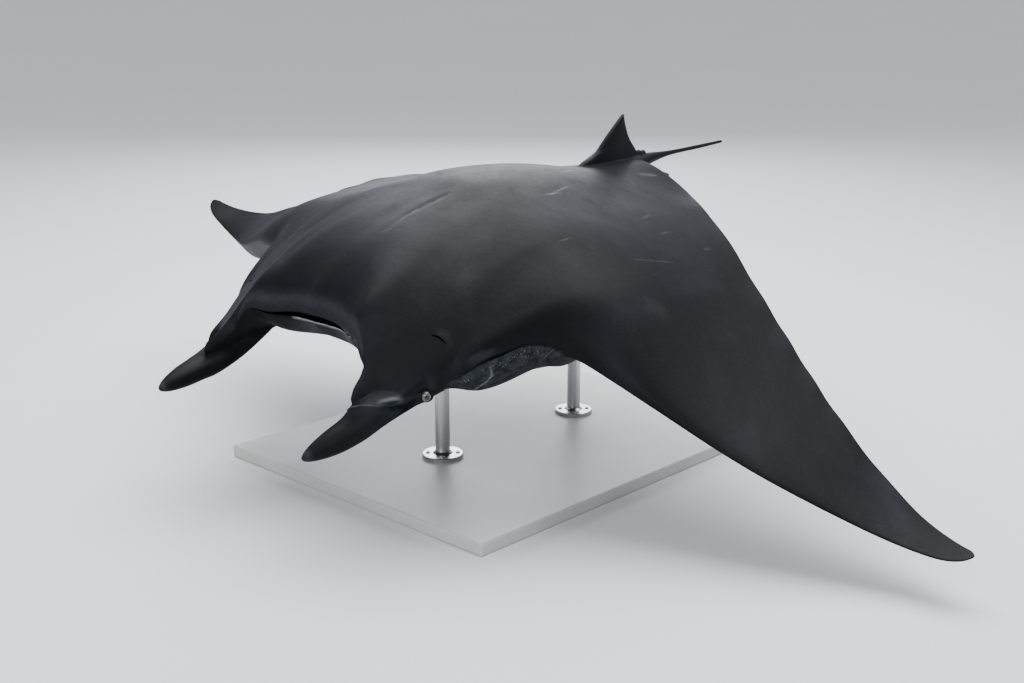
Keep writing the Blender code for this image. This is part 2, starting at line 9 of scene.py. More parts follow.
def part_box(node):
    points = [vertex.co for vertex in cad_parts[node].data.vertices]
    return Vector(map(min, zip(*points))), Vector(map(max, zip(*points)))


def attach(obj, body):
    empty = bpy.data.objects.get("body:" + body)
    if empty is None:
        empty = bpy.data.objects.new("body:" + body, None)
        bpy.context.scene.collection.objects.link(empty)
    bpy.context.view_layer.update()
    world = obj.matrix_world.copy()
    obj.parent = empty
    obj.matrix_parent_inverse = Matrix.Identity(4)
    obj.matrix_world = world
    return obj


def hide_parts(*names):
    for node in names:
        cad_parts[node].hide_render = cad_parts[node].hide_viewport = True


# Giant manta ray, black form, on a plain display stand. Metres, nose towards -Y, its left towards +X.
# The animal is shaped flat, in shares of its disc width (across, back from the mouth, up),
# then each wing is bent by its droop, and the whole is scaled and tipped nose down.
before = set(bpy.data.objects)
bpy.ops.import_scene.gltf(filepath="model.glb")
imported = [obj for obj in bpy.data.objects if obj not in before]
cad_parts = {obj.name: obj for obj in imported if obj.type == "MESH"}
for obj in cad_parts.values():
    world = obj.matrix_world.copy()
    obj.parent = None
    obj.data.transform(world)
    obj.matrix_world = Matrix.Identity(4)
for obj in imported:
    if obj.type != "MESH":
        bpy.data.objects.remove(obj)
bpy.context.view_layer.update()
print("frame loaded:", len(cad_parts), "nodes")

sides = {"left": 1, "right": -1}


# curves

def spline(xs, ys, x):
    # natural cubic spline through (xs, ys): its second slopes solve a three-band system
    xs, ys, x = np.asarray(xs, float), np.asarray(ys, float), np.asarray(x, float)
    steps, count = np.diff(xs), len(xs)
    system, right = np.eye(count), np.zeros(count)
    for i in range(1, count - 1):
        system[i, i - 1:i + 2] = steps[i - 1], 2 * (steps[i - 1] + steps[i]), steps[i]
        right[i] = 6 * ((ys[i + 1] - ys[i]) / steps[i] - (ys[i] - ys[i - 1]) / steps[i - 1])
    bends = np.linalg.solve(system, right)
    i = np.clip(np.searchsorted(xs, x) - 1, 0, count - 2)
    before, after = (xs[i + 1] - x) / steps[i], (x - xs[i]) / steps[i]
    curve = (before ** 3 - before) * bends[i] + (after ** 3 - after) * bends[i + 1]
    return before * ys[i] + after * ys[i + 1] + curve * steps[i] ** 2 / 6


def smoothStep(low, high, x):
    # 3 t^2 - 2 t^3, with t running from 0 at low to 1 at high
    t = np.clip((x - low) / (high - low), 0.0, 1.0)
    return t * t * (3 - 2 * t)


def bell(x, width):
    # exp(-(x / width)^2)
    return np.exp(-(x / width) ** 2)


def window(x, low, high, soft):
    # 1 between low and high, falling to 0 over a soft margin outside
    return smoothStep(low - soft, low + soft, x) * (1 - smoothStep(high - soft, high + soft, x))


def rise(t, bluntness):
    # (1 - (1 - t)^n)^(1 / n): upright at the start when n is 2, straight when it is 1
    return (1 - (1 - np.clip(t, 0.0, 1.0)) ** bluntness) ** (1 / bluntness)


def fall(chord, crest, power):
    # 1 up to the crest, then (1 - s^1.7)^power down to the rear edge
    behind = np.clip((chord - crest) / (1 - crest), 0.0, 1.0)
    return (1 - behind ** 1.7) ** power


def softened(curve, x, reach):
    # mean of a curve over its neighbourhood, weighted by exp(-(d / reach)^2)
    offsets = np.linspace(-1.8, 1.8, 13) * reach
    weights = bell(offsets, reach) / bell(offsets, reach).sum()
    return sum(weight * curve(x + offset) for offset, weight in zip(offsets, weights))


def graded(stops, steps):
    # stations spaced by the steps wanted at the stops: the sum of dx / step, read at whole numbers
    x = np.linspace(stops[0], stops[-1], 20001)
    middle = (x[1:] + x[:-1]) / 2
    count = np.concatenate([[0.0], np.cumsum(np.diff(x) / np.interp(middle, stops, steps))])
    return np.interp(np.linspace(0.0, count[-1], int(round(count[-1])) + 1), count, x)


# the flat animal and its pose

disc = {
    "width": 4.6,
    "frontSpan": (0.0, 0.04, 0.06, 0.072, 0.08, 0.087, 0.094, 0.102, 0.11, 0.118, 0.127,
                  0.141, 0.159, 0.2, 0.27, 0.35, 0.42, 0.47, 0.492, 0.5),
    "frontEdge": (0.0108, 0.0101, 0.001, -0.0033, -0.008, -0.0144, -0.0359, -0.0192, -0.013, -0.0168, 0.0118,
                  0.0357, 0.079, 0.1204, 0.1478, 0.1846, 0.2216, 0.2367, 0.2414, 0.2458),
    "rearSpan": (0.0, 0.03, 0.08, 0.14, 0.20, 0.27, 0.35, 0.42, 0.47, 0.5),
    "rearEdge": (0.447, 0.444, 0.4119, 0.367, 0.3307, 0.3051, 0.2861, 0.2756, 0.2642, 0.2534),
    "lipSpan": (0.0, 0.030, 0.055, 0.070, 0.084, 0.100, 0.118, 0.135, 0.160, 0.20, 0.30, 0.5),
    "lipHeight": (0.0299, 0.0265, 0.0259, 0.0257, 0.0068, -0.0135, -0.0155, -0.0051, 0.003, 0.0022, 0.0, 0.0),
    "faceSpan": (0.0, 0.06, 0.078, 0.10, 0.13, 0.142, 0.158, 0.176, 0.190, 0.205, 0.5),
    "faceDepth": (0.0236, 0.0182, 0.0094, 0.0074, 0.0041, 0.0183, 0.015, 0.014, 0.0, 0.0, 0.0),
    "faceSteepness": 0.006,
    "lipLength": 0.16,
    "toWing": (0.11, 0.20),         # where the body passes into the wing
    "lobeReach": 0.026,             # how widely the lobes of the front edge are evened out
    "lobeLength": (0.0, 0.050),     # and over what distance behind the edge
    "tipRound": 0.006,
    "gillsEnd": (0.172, 0.181),     # where the left gill covers stop
    "edgeHalf": 0.0005,
    "crest": (0.40, 0.16),          # the highest place's share of the chord, and less of it in the wing
    "backHeight": 0.0802,
    "backHalfWidth": 0.1849,
    "backPower": 2.4,
    "bluntness": (1.55, 0.45),      # of the front, and more of it in the wing
    "backFall": 1.25,
    "bellyDepth": 0.0131,
    "bellyHalfWidth": 0.1126,
    "bellyPower": 4,
    "bellyFrom": (0.0, 0.26),
    "bellyCrest": 0.5,
    "wingTop": 0.005,
    "wingBottom": 0.012,
    "taperPower": 0.7,
    "webInside": 0.35,              # the share of the wing's underside that the body has
    "webCrest": 0.24,               # the share of the chord where the underside is deepest
    "tailRidge": 0.0205,
    "tailRidgeHalfWidth": 0.045,
    "tailRidgeFrom": (0.33, 0.44),
    "tailRidgeEnd": 0.05,
}

pose = {
    "noseDown": math.radians(13.0),
    "span": (0.0, 0.10, 0.18, 0.26, 0.34, 0.42, 0.50),
    "droop": {
        "left": (0.0, -0.0578, -0.3781, -0.5002, -0.5024, -0.4225, 0.1942),
        "right": (0.0, 0.1173, 0.1376, -0.2542, -0.3263, -0.1105, 0.8639),
    },
    "twist": {"left": 0.0375, "right": 0.2245},
    "sweep": {"left": -0.0731, "right": -0.0124},
    "twistAxis": 0.22,              # how far back the line is that a wing twists about
    "twistFrom": (0.12, 0.5),
    "sweepFrom": (0.14, 0.5),
    "places": 201,                  # at which the bend is summed
}


def plainFront(span):
    return spline(disc["frontSpan"], disc["frontEdge"], np.abs(span))


def plainRear(span):
    return spline(disc["rearSpan"], disc["rearEdge"], np.abs(span))


def tipShrink(span):
    # the chord's loss at each wing tip: half of it times 1 - sqrt(1 - s^2)
    s = np.clip((np.abs(span) - 0.5) / disc["tipRound"] + 1, 0.0, 0.998)
    return (plainRear(span) - plainFront(span)) / 2 * (1 - np.sqrt(1 - s * s))


def frontEdge(span):
    return plainFront(span) + tipShrink(span)


def rearEdge(span):
    return plainRear(span) - tipShrink(span)


def lipHeight(span):
    return spline(disc["lipSpan"], disc["lipHeight"], np.abs(span))


def discPoint(span, chord, under):
    # the flat disc at a place across the span and a share of the chord. Its back is a hump that rises
    # bluntly to a crest and falls to the rear edge, with a ridge to the tail; its underside is the steep
    # face behind the lip, the belly and the wing's web. Returns the points and each one's depth below
    out = np.abs(span)
    back = (rearEdge(span) - frontEdge(span)) * chord
    toWing = smoothStep(*disc["toWing"], out)
    crest = disc["crest"][0] - disc["crest"][1] * toWing
    bluntness = disc["bluntness"][0] + disc["bluntness"][1] * toWing
    taper = (1 - np.clip(out / 0.5, 0.0, 1.0)) ** disc["taperPower"]

    # the lobes of the edge die out behind it: further back the height follows an evened edge
    away = smoothStep(*disc["lobeLength"], back)
    evenFront = softened(frontEdge, span, disc["lobeReach"])
    evenChord = np.clip((frontEdge(span) + back - evenFront) / (rearEdge(span) - evenFront), 0.0, 1.0)
    share = chord * (1 - away) + evenChord * away
    hump = disc["backHeight"] * np.exp(-(out / disc["backHalfWidth"]) ** disc["backPower"])
    hump = hump + disc["wingTop"] * taper
    above = hump * rise(share / crest, bluntness) * fall(share, crest, disc["backFall"])
    ridge = disc["tailRidge"] * bell(out, disc["tailRidgeHalfWidth"])
    ridge = ridge * smoothStep(*disc["tailRidgeFrom"], frontEdge(span) + back)
    above = above + ridge * rise((1 - chord) / disc["tailRidgeEnd"], 2.0)

    face = spline(disc["faceSpan"], disc["faceDepth"], out) * (1 - np.exp(-back / disc["faceSteepness"]))
    face = np.maximum(face, 0.0) * (1 - smoothStep(*disc["gillsEnd"], span))
    belly = disc["bellyDepth"] * np.exp(-(out / disc["bellyHalfWidth"]) ** disc["bellyPower"])
    belly = belly * smoothStep(*disc["bellyFrom"], back) * fall(chord, disc["bellyCrest"], 1.0)
    web = disc["wingBottom"] * taper * (disc["webInside"] + (1 - disc["webInside"]) * toWing)
    web = web * rise(chord / disc["webCrest"], 2.0) * fall(chord, disc["webCrest"], 1.0)
    below = face * fall(chord, crest, 1.0) + belly + web

    lip = lipHeight(span) * (1 - away) + softened(lipHeight, span, disc["lobeReach"]) * away
    lift = lip * (1 - smoothStep(0.0, disc["lipLength"], back))
    height = np.where(under, -below - disc["edgeHalf"], above + disc["edgeHalf"]) + lift
    return np.stack([span + 0 * back, frontEdge(span) + back, height], axis=-1), below


def droop(points):
    # bends each wing: its slope is summed out from the middle, with its twist and sweep growing outwards
    across, back, up = points[..., 0], points[..., 1], points[..., 2]
    out = np.abs(across)
    bent = np.empty_like(points)
    table = np.linspace(0.0, 0.5, pose["places"])
    for side, sign in sides.items():
        slope = spline(pose["span"], pose["droop"][side], table)
        alongX = np.concatenate([[0.0], np.cumsum((np.cos(slope[1:]) + np.cos(slope[:-1])) / 2 * table[1])])
        alongZ = np.concatenate([[0.0], np.cumsum((np.sin(slope[1:]) + np.sin(slope[:-1])) / 2 * table[1])])
        angle = np.interp(out, table, slope)
        twist = pose["twist"][side] * smoothStep(*pose["twistFrom"], out)
        lifted = up + (back - pose["twistAxis"]) * np.sin(twist)
        here = across >= 0 if sign > 0 else across < 0
        x = np.interp(out, table, alongX) - lifted * np.sin(angle)
        z = np.interp(out, table, alongZ) + lifted * np.cos(angle)
        swept = back + pose["sweep"][side] * smoothStep(*pose["sweepFrom"], out)
        bent[here] = np.stack([sign * x, swept, z], axis=-1)[here]
    return bent


def tipNoseDown(points):
    # turns about the mouth by the nose's tip, then scales to metres
    x, y, z = np.moveaxis(np.asarray(points, float), -1, 0)
    cosine, sine = math.cos(pose["noseDown"]), math.sin(pose["noseDown"])
    return np.stack([x, y * cosine - z * sine, y * sine + z * cosine], axis=-1) * disc["width"]


eye = {
    "at": (0.1274, 0.0091, -0.0113),
    "radius": 0.0046 * disc["width"],
    "lookOut": (0.85, -0.49, 0.10),     # the way the left eye faces
    "rings": 40,
    "corners": 64,
    "corneaBulge": 0.0012,
    "corneaWidth": 0.55,                # radians
    "lidRadius": 0.0192,
    "lidThick": 0.0053,
    "lidOut": 0.28,                     # how far out the lid lies, in radii
    "lidWide": 1.10,
    "lidHigh": 0.88,
    # painted shade on the lid round the eye
    "lidShade": -0.12,
    "lidCorners": 56,
    "lidRound": 16,
}

# the middle of the mouth in the world: where the frame's left eye is, less the eye's own place on the animal
eyeLow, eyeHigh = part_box("eye_left")
mouthPlace = (np.array(eyeLow) + np.array(eyeHigh)) / 2 - tipNoseDown(droop(np.array(eye["at"])[None]))[0]


def placed(points):
    # from the flat animal to the world
    return tipNoseDown(droop(np.asarray(points, float))) + mouthPlace


def unplaced(points):
    # the way back to the flat animal: turned level, then the bend undone by repeated correction
    x, y, z = np.moveaxis((np.asarray(points, float) - mouthPlace) / disc["width"], -1, 0)
    cosine, sine = math.cos(pose["noseDown"]), math.sin(pose["noseDown"])
    bent = np.stack([x, y * cosine + z * sine, z * cosine - y * sine], axis=-1)
    flat = bent.copy()
    for _ in range(24):
        flat += bent - droop(flat)
    return flat


# meshes

def circle(corners):
    # evenly spaced angles round a full turn
    return np.linspace(0, 2 * math.pi, corners, endpoint=False)


def onSide(place, side):
    # a place given for the left, mirrored for the right
    return np.array(place) * (sides[side], 1, 1)


def closedTube(rings):
    # quads between neighbouring rings and a fan to the middle of each end ring
    count, size = rings.shape[:2]
    ids = np.arange(count * size).reshape(count, size)
    after = np.roll(ids, -1, axis=1)
    quads = np.stack([ids[:-1], after[:-1], after[1:], ids[1:]], axis=-1).reshape(-1, 4)
    startFan = np.stack([after[0], ids[0], np.full(size, count * size)], axis=-1)
    endFan = np.stack([ids[-1], after[-1], np.full(size, count * size + 1)], axis=-1)
    ends = rings[[0, -1]].mean(axis=1)
    return np.concatenate([rings.reshape(-1, 3), ends]), quads.tolist() + startFan.tolist() + endFan.tolist()


def newObject(name, data):
    thing = bpy.data.objects.new(name, data)
    bpy.context.scene.collection.objects.link(thing)
    return thing


def meshPoints(mesh):
    points = np.empty(len(mesh.vertices) * 3)
    mesh.vertices.foreach_get("co", points)
    return points.reshape(-1, 3)


def meshTriangles(mesh):
    mesh.calc_loop_triangles()
    corners = np.empty(len(mesh.loop_triangles) * 3, int)
    mesh.loop_triangles.foreach_get("vertices", corners)
    return corners.reshape(-1, 3)


def newMesh(name, points, faces, fields=None):
    # a mesh from points and faces, turned outwards by the sign of its volume, with point attributes
    points = np.asarray(points, float)
    mesh = bpy.data.meshes.new(name)
    mesh.from_pydata(points.tolist(), [], faces)
    mesh.update()
    a, b, c = points[meshTriangles(mesh)].transpose(1, 0, 2)
    if np.einsum("ij,ij->i", a, np.cross(b, c)).sum() < 0:
        mesh.flip_normals()
    for key, values in (fields or {}).items():
        setField(mesh, key, values)
    mesh.shade_smooth()
    return newObject(name, mesh)


def setField(mesh, name, values):
    # a point attribute: a vector for each point or a single number
    values = np.asarray(values, np.float32)
    vector = values.ndim == 2
    kind = "FLOAT_VECTOR" if vector else "FLOAT"
    layer = mesh.attributes.get(name) or mesh.attributes.new(name, kind, "POINT")
    layer.data.foreach_set("vector" if vector else "value", values.ravel())


def getField(mesh, name, width):
    values = np.zeros(len(mesh.vertices) * width, np.float32)
    mesh.attributes[name].data.foreach_get("vector" if width == 3 else "value", values)
    return values.reshape(-1, width) if width == 3 else values


def ringNormals(rings):
    # across the two directions of a grid of rings, turned away from the line through the rings' middles
    along = np.gradient(rings, axis=0)
    around = np.roll(rings, -1, axis=1) - np.roll(rings, 1, axis=1)
    normal = np.cross(along, around)
    normal /= np.linalg.norm(normal, axis=-1, keepdims=True) + 1e-12
    return -normal


def ringQuads(count, size):
    # quads over a grid of points that closes on itself in both directions
    ids = np.arange(count * size).reshape(count, size)
    after = np.roll(ids, -1, axis=1)
    corners = [ids, after, np.roll(after, -1, axis=0), np.roll(ids, -1, axis=0)]
    return np.stack(corners, axis=-1).reshape(-1, 4).tolist()


# the disc: one closed grid, with the lips, gill flaps, folds and scar raised on it

discGrid = {
    # spacing across the span, in shares of the disc width: finest at the spiracles
    "spanStops": (0.0, 0.085, 0.095, 0.112, 0.1135, 0.1250, 0.1265, 0.150, 0.185, 0.26, 0.46, 0.494, 0.5),
    "spanSteps": (0.0028, 0.0025, 0.0018, 0.0018, 0.0009, 0.0009, 0.0018,
                  0.0018, 0.0030, 0.0060, 0.0066, 0.0024, 0.0005),
    # spacing along the chord on the back: fine at the lip and by the spiracles
    "topStops": (0.0, 0.003, 0.008, 0.03, 0.080, 0.089, 0.129, 0.138, 0.30, 0.75, 0.96, 1.0),
    "topSteps": (0.00022, 0.0005, 0.0020, 0.0060, 0.0066, 0.0021,
                 0.0021, 0.0072, 0.0150, 0.0170, 0.0090, 0.0025),
    # and on the underside, in shares of the disc width at the midline: finest in the mouth
    "underStops": (0.0, 0.0026, 0.0036, 0.0080, 0.016, 0.05),
    "underSteps": (0.00013, 0.00016, 0.00036, 0.0012, 0.0040, 0.0060),
    "rearSteps": (0.0068, 0.0055, 0.0014),
    "midLength": 0.441,
    "lean": (0.072, 0.200, 0.028),      # the rows that lean with the gill slits, and their soft margin
    "leanOut": (0.112, 0.145),
}


def stripDistance(across, back, start, end):
    # distance from a place to the straight line between two places
    start, end = np.array(start), np.array(end)
    line = end - start
    t = np.clip(((across - start[0]) * line[0] + (back - start[1]) * line[1]) / (line @ line), 0.0, 1.0)
    return np.hypot(across - start[0] - t * line[0], back - start[1] - t * line[1])


# each Relief function gives how far the disc stands out from its plain shape, in metres, and its painted
# light and paleness:
# below 0 painted shade, darker as in a slit; above 0 paler, as on the lip's pale rim, or a painted highlight
# on a raised roll or fold

mouth = {
    "halfWidth": 0.0660,
    "soft": 0.0050,
    "top": 0.0005,                  # the slit's upper and lower edges, below the lip
    "bottomSpan": (0.0, 0.018, 0.028, 0.046, 0.064),
    "bottom": (0.0066, 0.0062, 0.0050, 0.0022, 0.0008),
    "edge": 0.0005,
    "depth": 0.045,
    "rimSpan": (0.0, 0.028, 0.046, 0.062),
    "rim": (0.0075, 0.0095, 0.0140, 0.0110),
    "rimWidth": (0.0010, 0.0012, 0.0014, 0.0008),
    "rimTint": 1.3,
    "paleFrom": (-0.034, -0.027),   # across: where the rim turns pale and where that ends
    "paleTo": (0.052, 0.062),
    "upperLip": 0.0020,
    "upperLipAt": (0.0035, 0.0036),
    "upperLipEnd": (0.075, 0.100),
    # painted highlight along the crest of the upper lip's roll
    "upperLipHighlight": 0.06,
}


def mouthRelief(across, front, below, under):
    # an open slit darkened with painted shade, a bell-shaped pale rim along the lower lip and a soft roll
    # along the upper one, lightened with a painted highlight
    out = np.abs(across)
    inMouth = 1 - smoothStep(mouth["halfWidth"] - mouth["soft"], mouth["halfWidth"] + mouth["soft"], out)
    bottom = np.interp(out, mouth["bottomSpan"], mouth["bottom"])
    slit = window(below, mouth["top"], bottom, mouth["edge"]) * inMouth * under
    rimWidth = np.interp(out, mouth["rimSpan"], mouth["rimWidth"])
    rim = bell(below - bottom - rimWidth, rimWidth) * inMouth * under
    pale = smoothStep(*mouth["paleFrom"], across) * (1 - smoothStep(*mouth["paleTo"], across))
    middle, width = mouth["upperLipAt"]
    roll = bell(front - middle, width) * (1 - smoothStep(*mouth["upperLipEnd"], out)) * ~under
    height = np.interp(out, mouth["rimSpan"], mouth["rim"]) * rim - mouth["depth"] * slit
    shadeHighlightAndPale = mouth["rimTint"] * rim * pale - slit
    return height + mouth["upperLip"] * roll, shadeHighlightAndPale + mouth["upperLipHighlight"] * roll


spiracle = {
    "from": (0.1144, 0.0341),
    "to": (0.1232, 0.0374),
    "bend": 0.0009,
    "halfWidth": 0.0018,
    "depth": 0.006,
    "bump": 0.003,
    "bumpAhead": 0.0034,
    "bumpHalfWidth": 0.0022,
    "bumpTint": 0.03,
}


def spiracleRelief(across, back, under):
    # a bell-shaped furrow along a bent line, a parabola off the straight one, with a low bump ahead of it
    out = np.abs(across)
    (x, y), (endX, endY) = spiracle["from"], spiracle["to"]
    length = math.hypot(endX - x, endY - y)
    along = ((out - x) * (endX - x) + (back - y) * (endY - y)) / length ** 2
    aside = ((back - y) * (endX - x) - (out - x) * (endY - y)) / length
    aside = aside - spiracle["bend"] * 4 * along * (1 - along)
    pit = bell(aside, spiracle["halfWidth"]) * window(along, 0.0, 1.0, 0.10) * ~under
    knob = bell(aside + spiracle["bumpAhead"], spiracle["bumpHalfWidth"]) * window(along, 0.1, 1.1, 0.25)
    knob = knob * ~under
    return spiracle["bump"] * knob - spiracle["depth"] * pit, spiracle["bumpTint"] * knob


gills = {
    "count": 5,
    "first": 0.078,
    "apart": 0.027,
    "inner": 0.046,
    "outer": 0.112,
    "shorter": 0.006,       # each slit ends this much nearer the middle than the one before
    "slant": 0.30,
    "halfWidth": 0.0013,
    "depth": 0.016,
    "fade": 0.006,
    "flap": 0.006,
    "flapAhead": 0.0052,
    "flapHalfWidth": 0.0042,
    "fine": 0.0011,         # spacing of the grid at a slit and between slits
    "fineTo": 0.0035,
    "coarse": 0.0064,
    "coarseFrom": 0.0060,
}


def gillLean(across):
    # how far the gill slits lean forward at a place across, from the middle of their length
    return gills["slant"] * (np.abs(across) - (gills["inner"] + gills["outer"]) / 2)


def gillRelief(across, back, under):
    # slanting bell-shaped slits on the underside, darkened with painted shade, each with a raised flap ahead
    # of it
    height, shadeHighlightAndPale = 0 * across, 0 * across
    for number in range(gills["count"]):
        place = back + gillLean(across) - gills["first"] - number * gills["apart"]
        outer = gills["outer"] - number * gills["shorter"]
        reach = window(np.abs(across), gills["inner"], outer, gills["fade"]) * under
        flap = bell(place + gills["flapAhead"], gills["flapHalfWidth"])
        height += reach * (gills["flap"] * flap - gills["depth"] * bell(place, gills["halfWidth"]))
        shadeHighlightAndPale -= reach * bell(place, 1.3 * gills["halfWidth"])
    return height, shadeHighlightAndPale


folds = (
    # from, to (across, back), half width, metres outwards, painted light: below 0 painted shade in the sunk
    # crease, above 0 a painted highlight on the raised fold; on the left side of the back
    {"from": (0.1413, 0.0435), "to": (0.1500, 0.0590), "halfWidth": 0.0024, "out": 0.005, "shadeHighlightAndPale": 0.05},
    {"from": (0.1360, 0.0400), "to": (0.1470, 0.0640), "halfWidth": 0.0022, "out": -0.004, "shadeHighlightAndPale": -0.1},
)


def foldRelief(across, back, under):
    # a bell of the distance from each fold's line
    height, shadeHighlightAndPale = 0 * across, 0 * across
    for fold in folds:
        crest = bell(stripDistance(across, back, fold["from"], fold["to"]), fold["halfWidth"]) * ~under
        height += fold["out"] * crest
        shadeHighlightAndPale += fold["shadeHighlightAndPale"] * crest
    return height, shadeHighlightAndPale


# the hanging covers at the root of each wing, from a line across the steep edge of the wing down under it
cover = {
    "reach": (0.134, 0.178),
    "reachSoft": 0.002,
    "length": (0.030, 0.046),
    "topLength": (0.05, 0.06),
    "topSpan": (0.1352, 0.1400, 0.1439, 0.1475, 0.1511, 0.1549, 0.1588, 0.1641, 0.1674, 0.1720, 0.1781),
    "top": (-0.0078, -0.0015, 0.0028, 0.0062, 0.0084, 0.0107, 0.0126, 0.0121, 0.0113, 0.0095, 0.0054),
    "topSoft": (-0.0012, 0.0002),
    "sunk": 0.010,
    "sunkFrom": (-0.020, -0.002),
    "groove": 0.006,
    "grooveAbove": 0.0003,
    "grooveWidth": 0.0010,
    "grooveSoft": 0.003,
    # painted shadow under the wing's edge, along the groove
    "grooveShadow": (0.25, 0.5),      # everywhere, and added where it is deepest
    "deepest": (0.1515, 0.0050),
    "lumps": 0.0020,
}


def coverRelief(out, up, front, under):
    # the covers' share is 1 below their top line and in front; their lumps, two sines multiplied, are
    # sunk away towards that line, and a bell-shaped groove follows it, darkened by a painted shadow; returns
    # that share too
    inLine = np.clip(out, cover["topSpan"][0], cover["topSpan"][-1])
    line = up - spline(cover["topSpan"], cover["top"], inLine)
    onTop = (1 - smoothStep(*cover["topLength"], front)) * ~under
    underneath = (1 - smoothStep(*cover["length"], front)) * under
    share = (1 - smoothStep(*cover["topSoft"], line)) * onTop + underneath
    share = window(out, *cover["reach"], cover["reachSoft"]) * share
    groove = bell(line - cover["grooveAbove"], cover["grooveWidth"]) * onTop
    groove = groove * window(out, *cover["reach"], cover["grooveSoft"])
    lumps = np.sin(out * 520 + 3 * np.sin(up * 300)) * np.sin(up * 410 + out * 160)
    height = (cover["lumps"] * lumps - cover["sunk"] * smoothStep(*cover["sunkFrom"], line)) * share
    everywhere, added = cover["grooveShadow"]
    middle, width = cover["deepest"]
    shadeHighlightAndPale = -groove * (everywhere + added * bell(out - middle, width))
    return height - cover["groove"] * groove, shadeHighlightAndPale, np.clip(share, 0.0, 1.0)


scar = {
    "path": ((0.0198, 0.0885), (0.0187, 0.1056), (0.0186, 0.1231), (0.0196, 0.1400), (0.0220, 0.1532)),
    "halfWidth": 0.0022,
    "height": 0.006,
}


def scarHeight(across, back, under):
    # the highest of the bells round the scar's straight pieces
    strips = zip(scar["path"][:-1], scar["path"][1:])
    crests = [bell(stripDistance(across, back, start, end), scar["halfWidth"]) for start, end in strips]
    return scar["height"] * np.max(crests, axis=0) * ~under


swell = {
    "height": 0.0008,
    "length": 0.085,
    "lesser": 0.4,              # the smaller waves' share
    "edgeRipple": 0.003,
    "rippleLength": 0.052,
    "rippleFrom": (0.80, 1.0),
    "rippleReach": (0.10, 0.46, 0.04),
    "wander": 2.0,
}


def swellHeight(across, back, front):
    # long low waves over the body, two products of sines, faded out towards the edges and the wing tips
    wave = np.sin(across / swell["length"] * 6.3 + 1.3) * np.cos(back / swell["length"] * 5.1 + 9 * across)
    wave = wave + swell["lesser"] * np.sin(across * 131 + back * 47 + 0.6) * np.cos(back * 93 - across * 29)
    chord = front / (rearEdge(across) - frontEdge(across))
    inBody = smoothStep(0.02, 0.10, front) * (1 - smoothStep(0.75, 1.0, chord))
    return swell["height"] * wave * inBody * (1 - 0.5 * smoothStep(0.3, 0.5, np.abs(across)))


def relief(flat, below, under):
    # all of it together, with each place's share in the gill covers; only the swell goes below the plain
    # shape: a slit cuts into no more than what stands out beside it, and the rest of it is painted shade
    across, back, up = flat[..., 0], flat[..., 1], flat[..., 2]
    front = back - frontEdge(across)
    coverHeight, coverTint, covers = coverRelief(np.abs(across), up, front, under)
    parts = (mouthRelief(across, front, below, under), spiracleRelief(across, back, under),
             gillRelief(across, back, under), foldRelief(across, back, under), (coverHeight, coverTint))
    height, shadeHighlightAndPale = [sum(values) for values in zip(*parts)]
    height = np.maximum(height, scarHeight(across, back, under)) + swellHeight(across, back, front)
    return height, np.clip(shadeHighlightAndPale, -1.0, 1.0), covers


# where the rows across the head are evened out: across, behind the front edge
even = {"out": (0.080, 0.127), "soft": 0.006, "behind": (0.004, 0.012, 0.050, 0.160), "passes": 60}


def evened(rings, strength):
    # each point moved towards the mean of its two neighbours across the span, again and again
    rings = rings.copy()
    for _ in range(even["passes"]):
        rings[1:-1] += ((rings[:-2] + rings[2:]) / 2 - rings[1:-1]) * strength[1:-1, :, None]
    return rings


def underStations():
    # shares of the chord for the underside's rows, close together at every gill slit
    slits = gills["first"] + gills["apart"] * np.arange(gills["count"])
    stops, steps = list(discGrid["underStops"]), list(discGrid["underSteps"])
    inner, outer = gills["fineTo"], gills["coarseFrom"]
    for slit in slits:
        stops += [slit - outer, slit - inner, slit + inner, slit + outer]
        steps += [gills["coarse"], gills["fine"], gills["fine"], gills["coarse"]]
    stops += [slits[-1] + 0.03, discGrid["midLength"] * 0.95, discGrid["midLength"]]
    steps += discGrid["rearSteps"]          # and then evenly on to the rear edge
    return graded(stops, steps) / discGrid["midLength"]


def leaningRows(across, underChord):
    # the underside's rows over the span: leaning with the gill slits where those are, never crossing
    length = rearEdge(across) - frontEdge(across)
    nominal = underChord[None, :] * discGrid["midLength"]
    inGills = window(nominal, *discGrid["lean"]) * (1 - smoothStep(*discGrid["leanOut"], np.abs(across)))
    byPlace = (nominal - gillLean(across) - frontEdge(across)) / length
    rows = underChord[None, :] * (1 - inGills) + byPlace * inGills
    return np.maximum.accumulate(rows, axis=1)


def rearRipple(across, chord):
    # up and down waves near the rear edge: sin of the place across, its phase wandering as another sine
    wander = swell["wander"] * np.sin(across * 21)
    ripple = swell["edgeRipple"] * np.sin(across / swell["rippleLength"] * 6.3 + wander)
    return ripple * smoothStep(*swell["rippleFrom"], chord) * window(np.abs(across), *swell["rippleReach"])


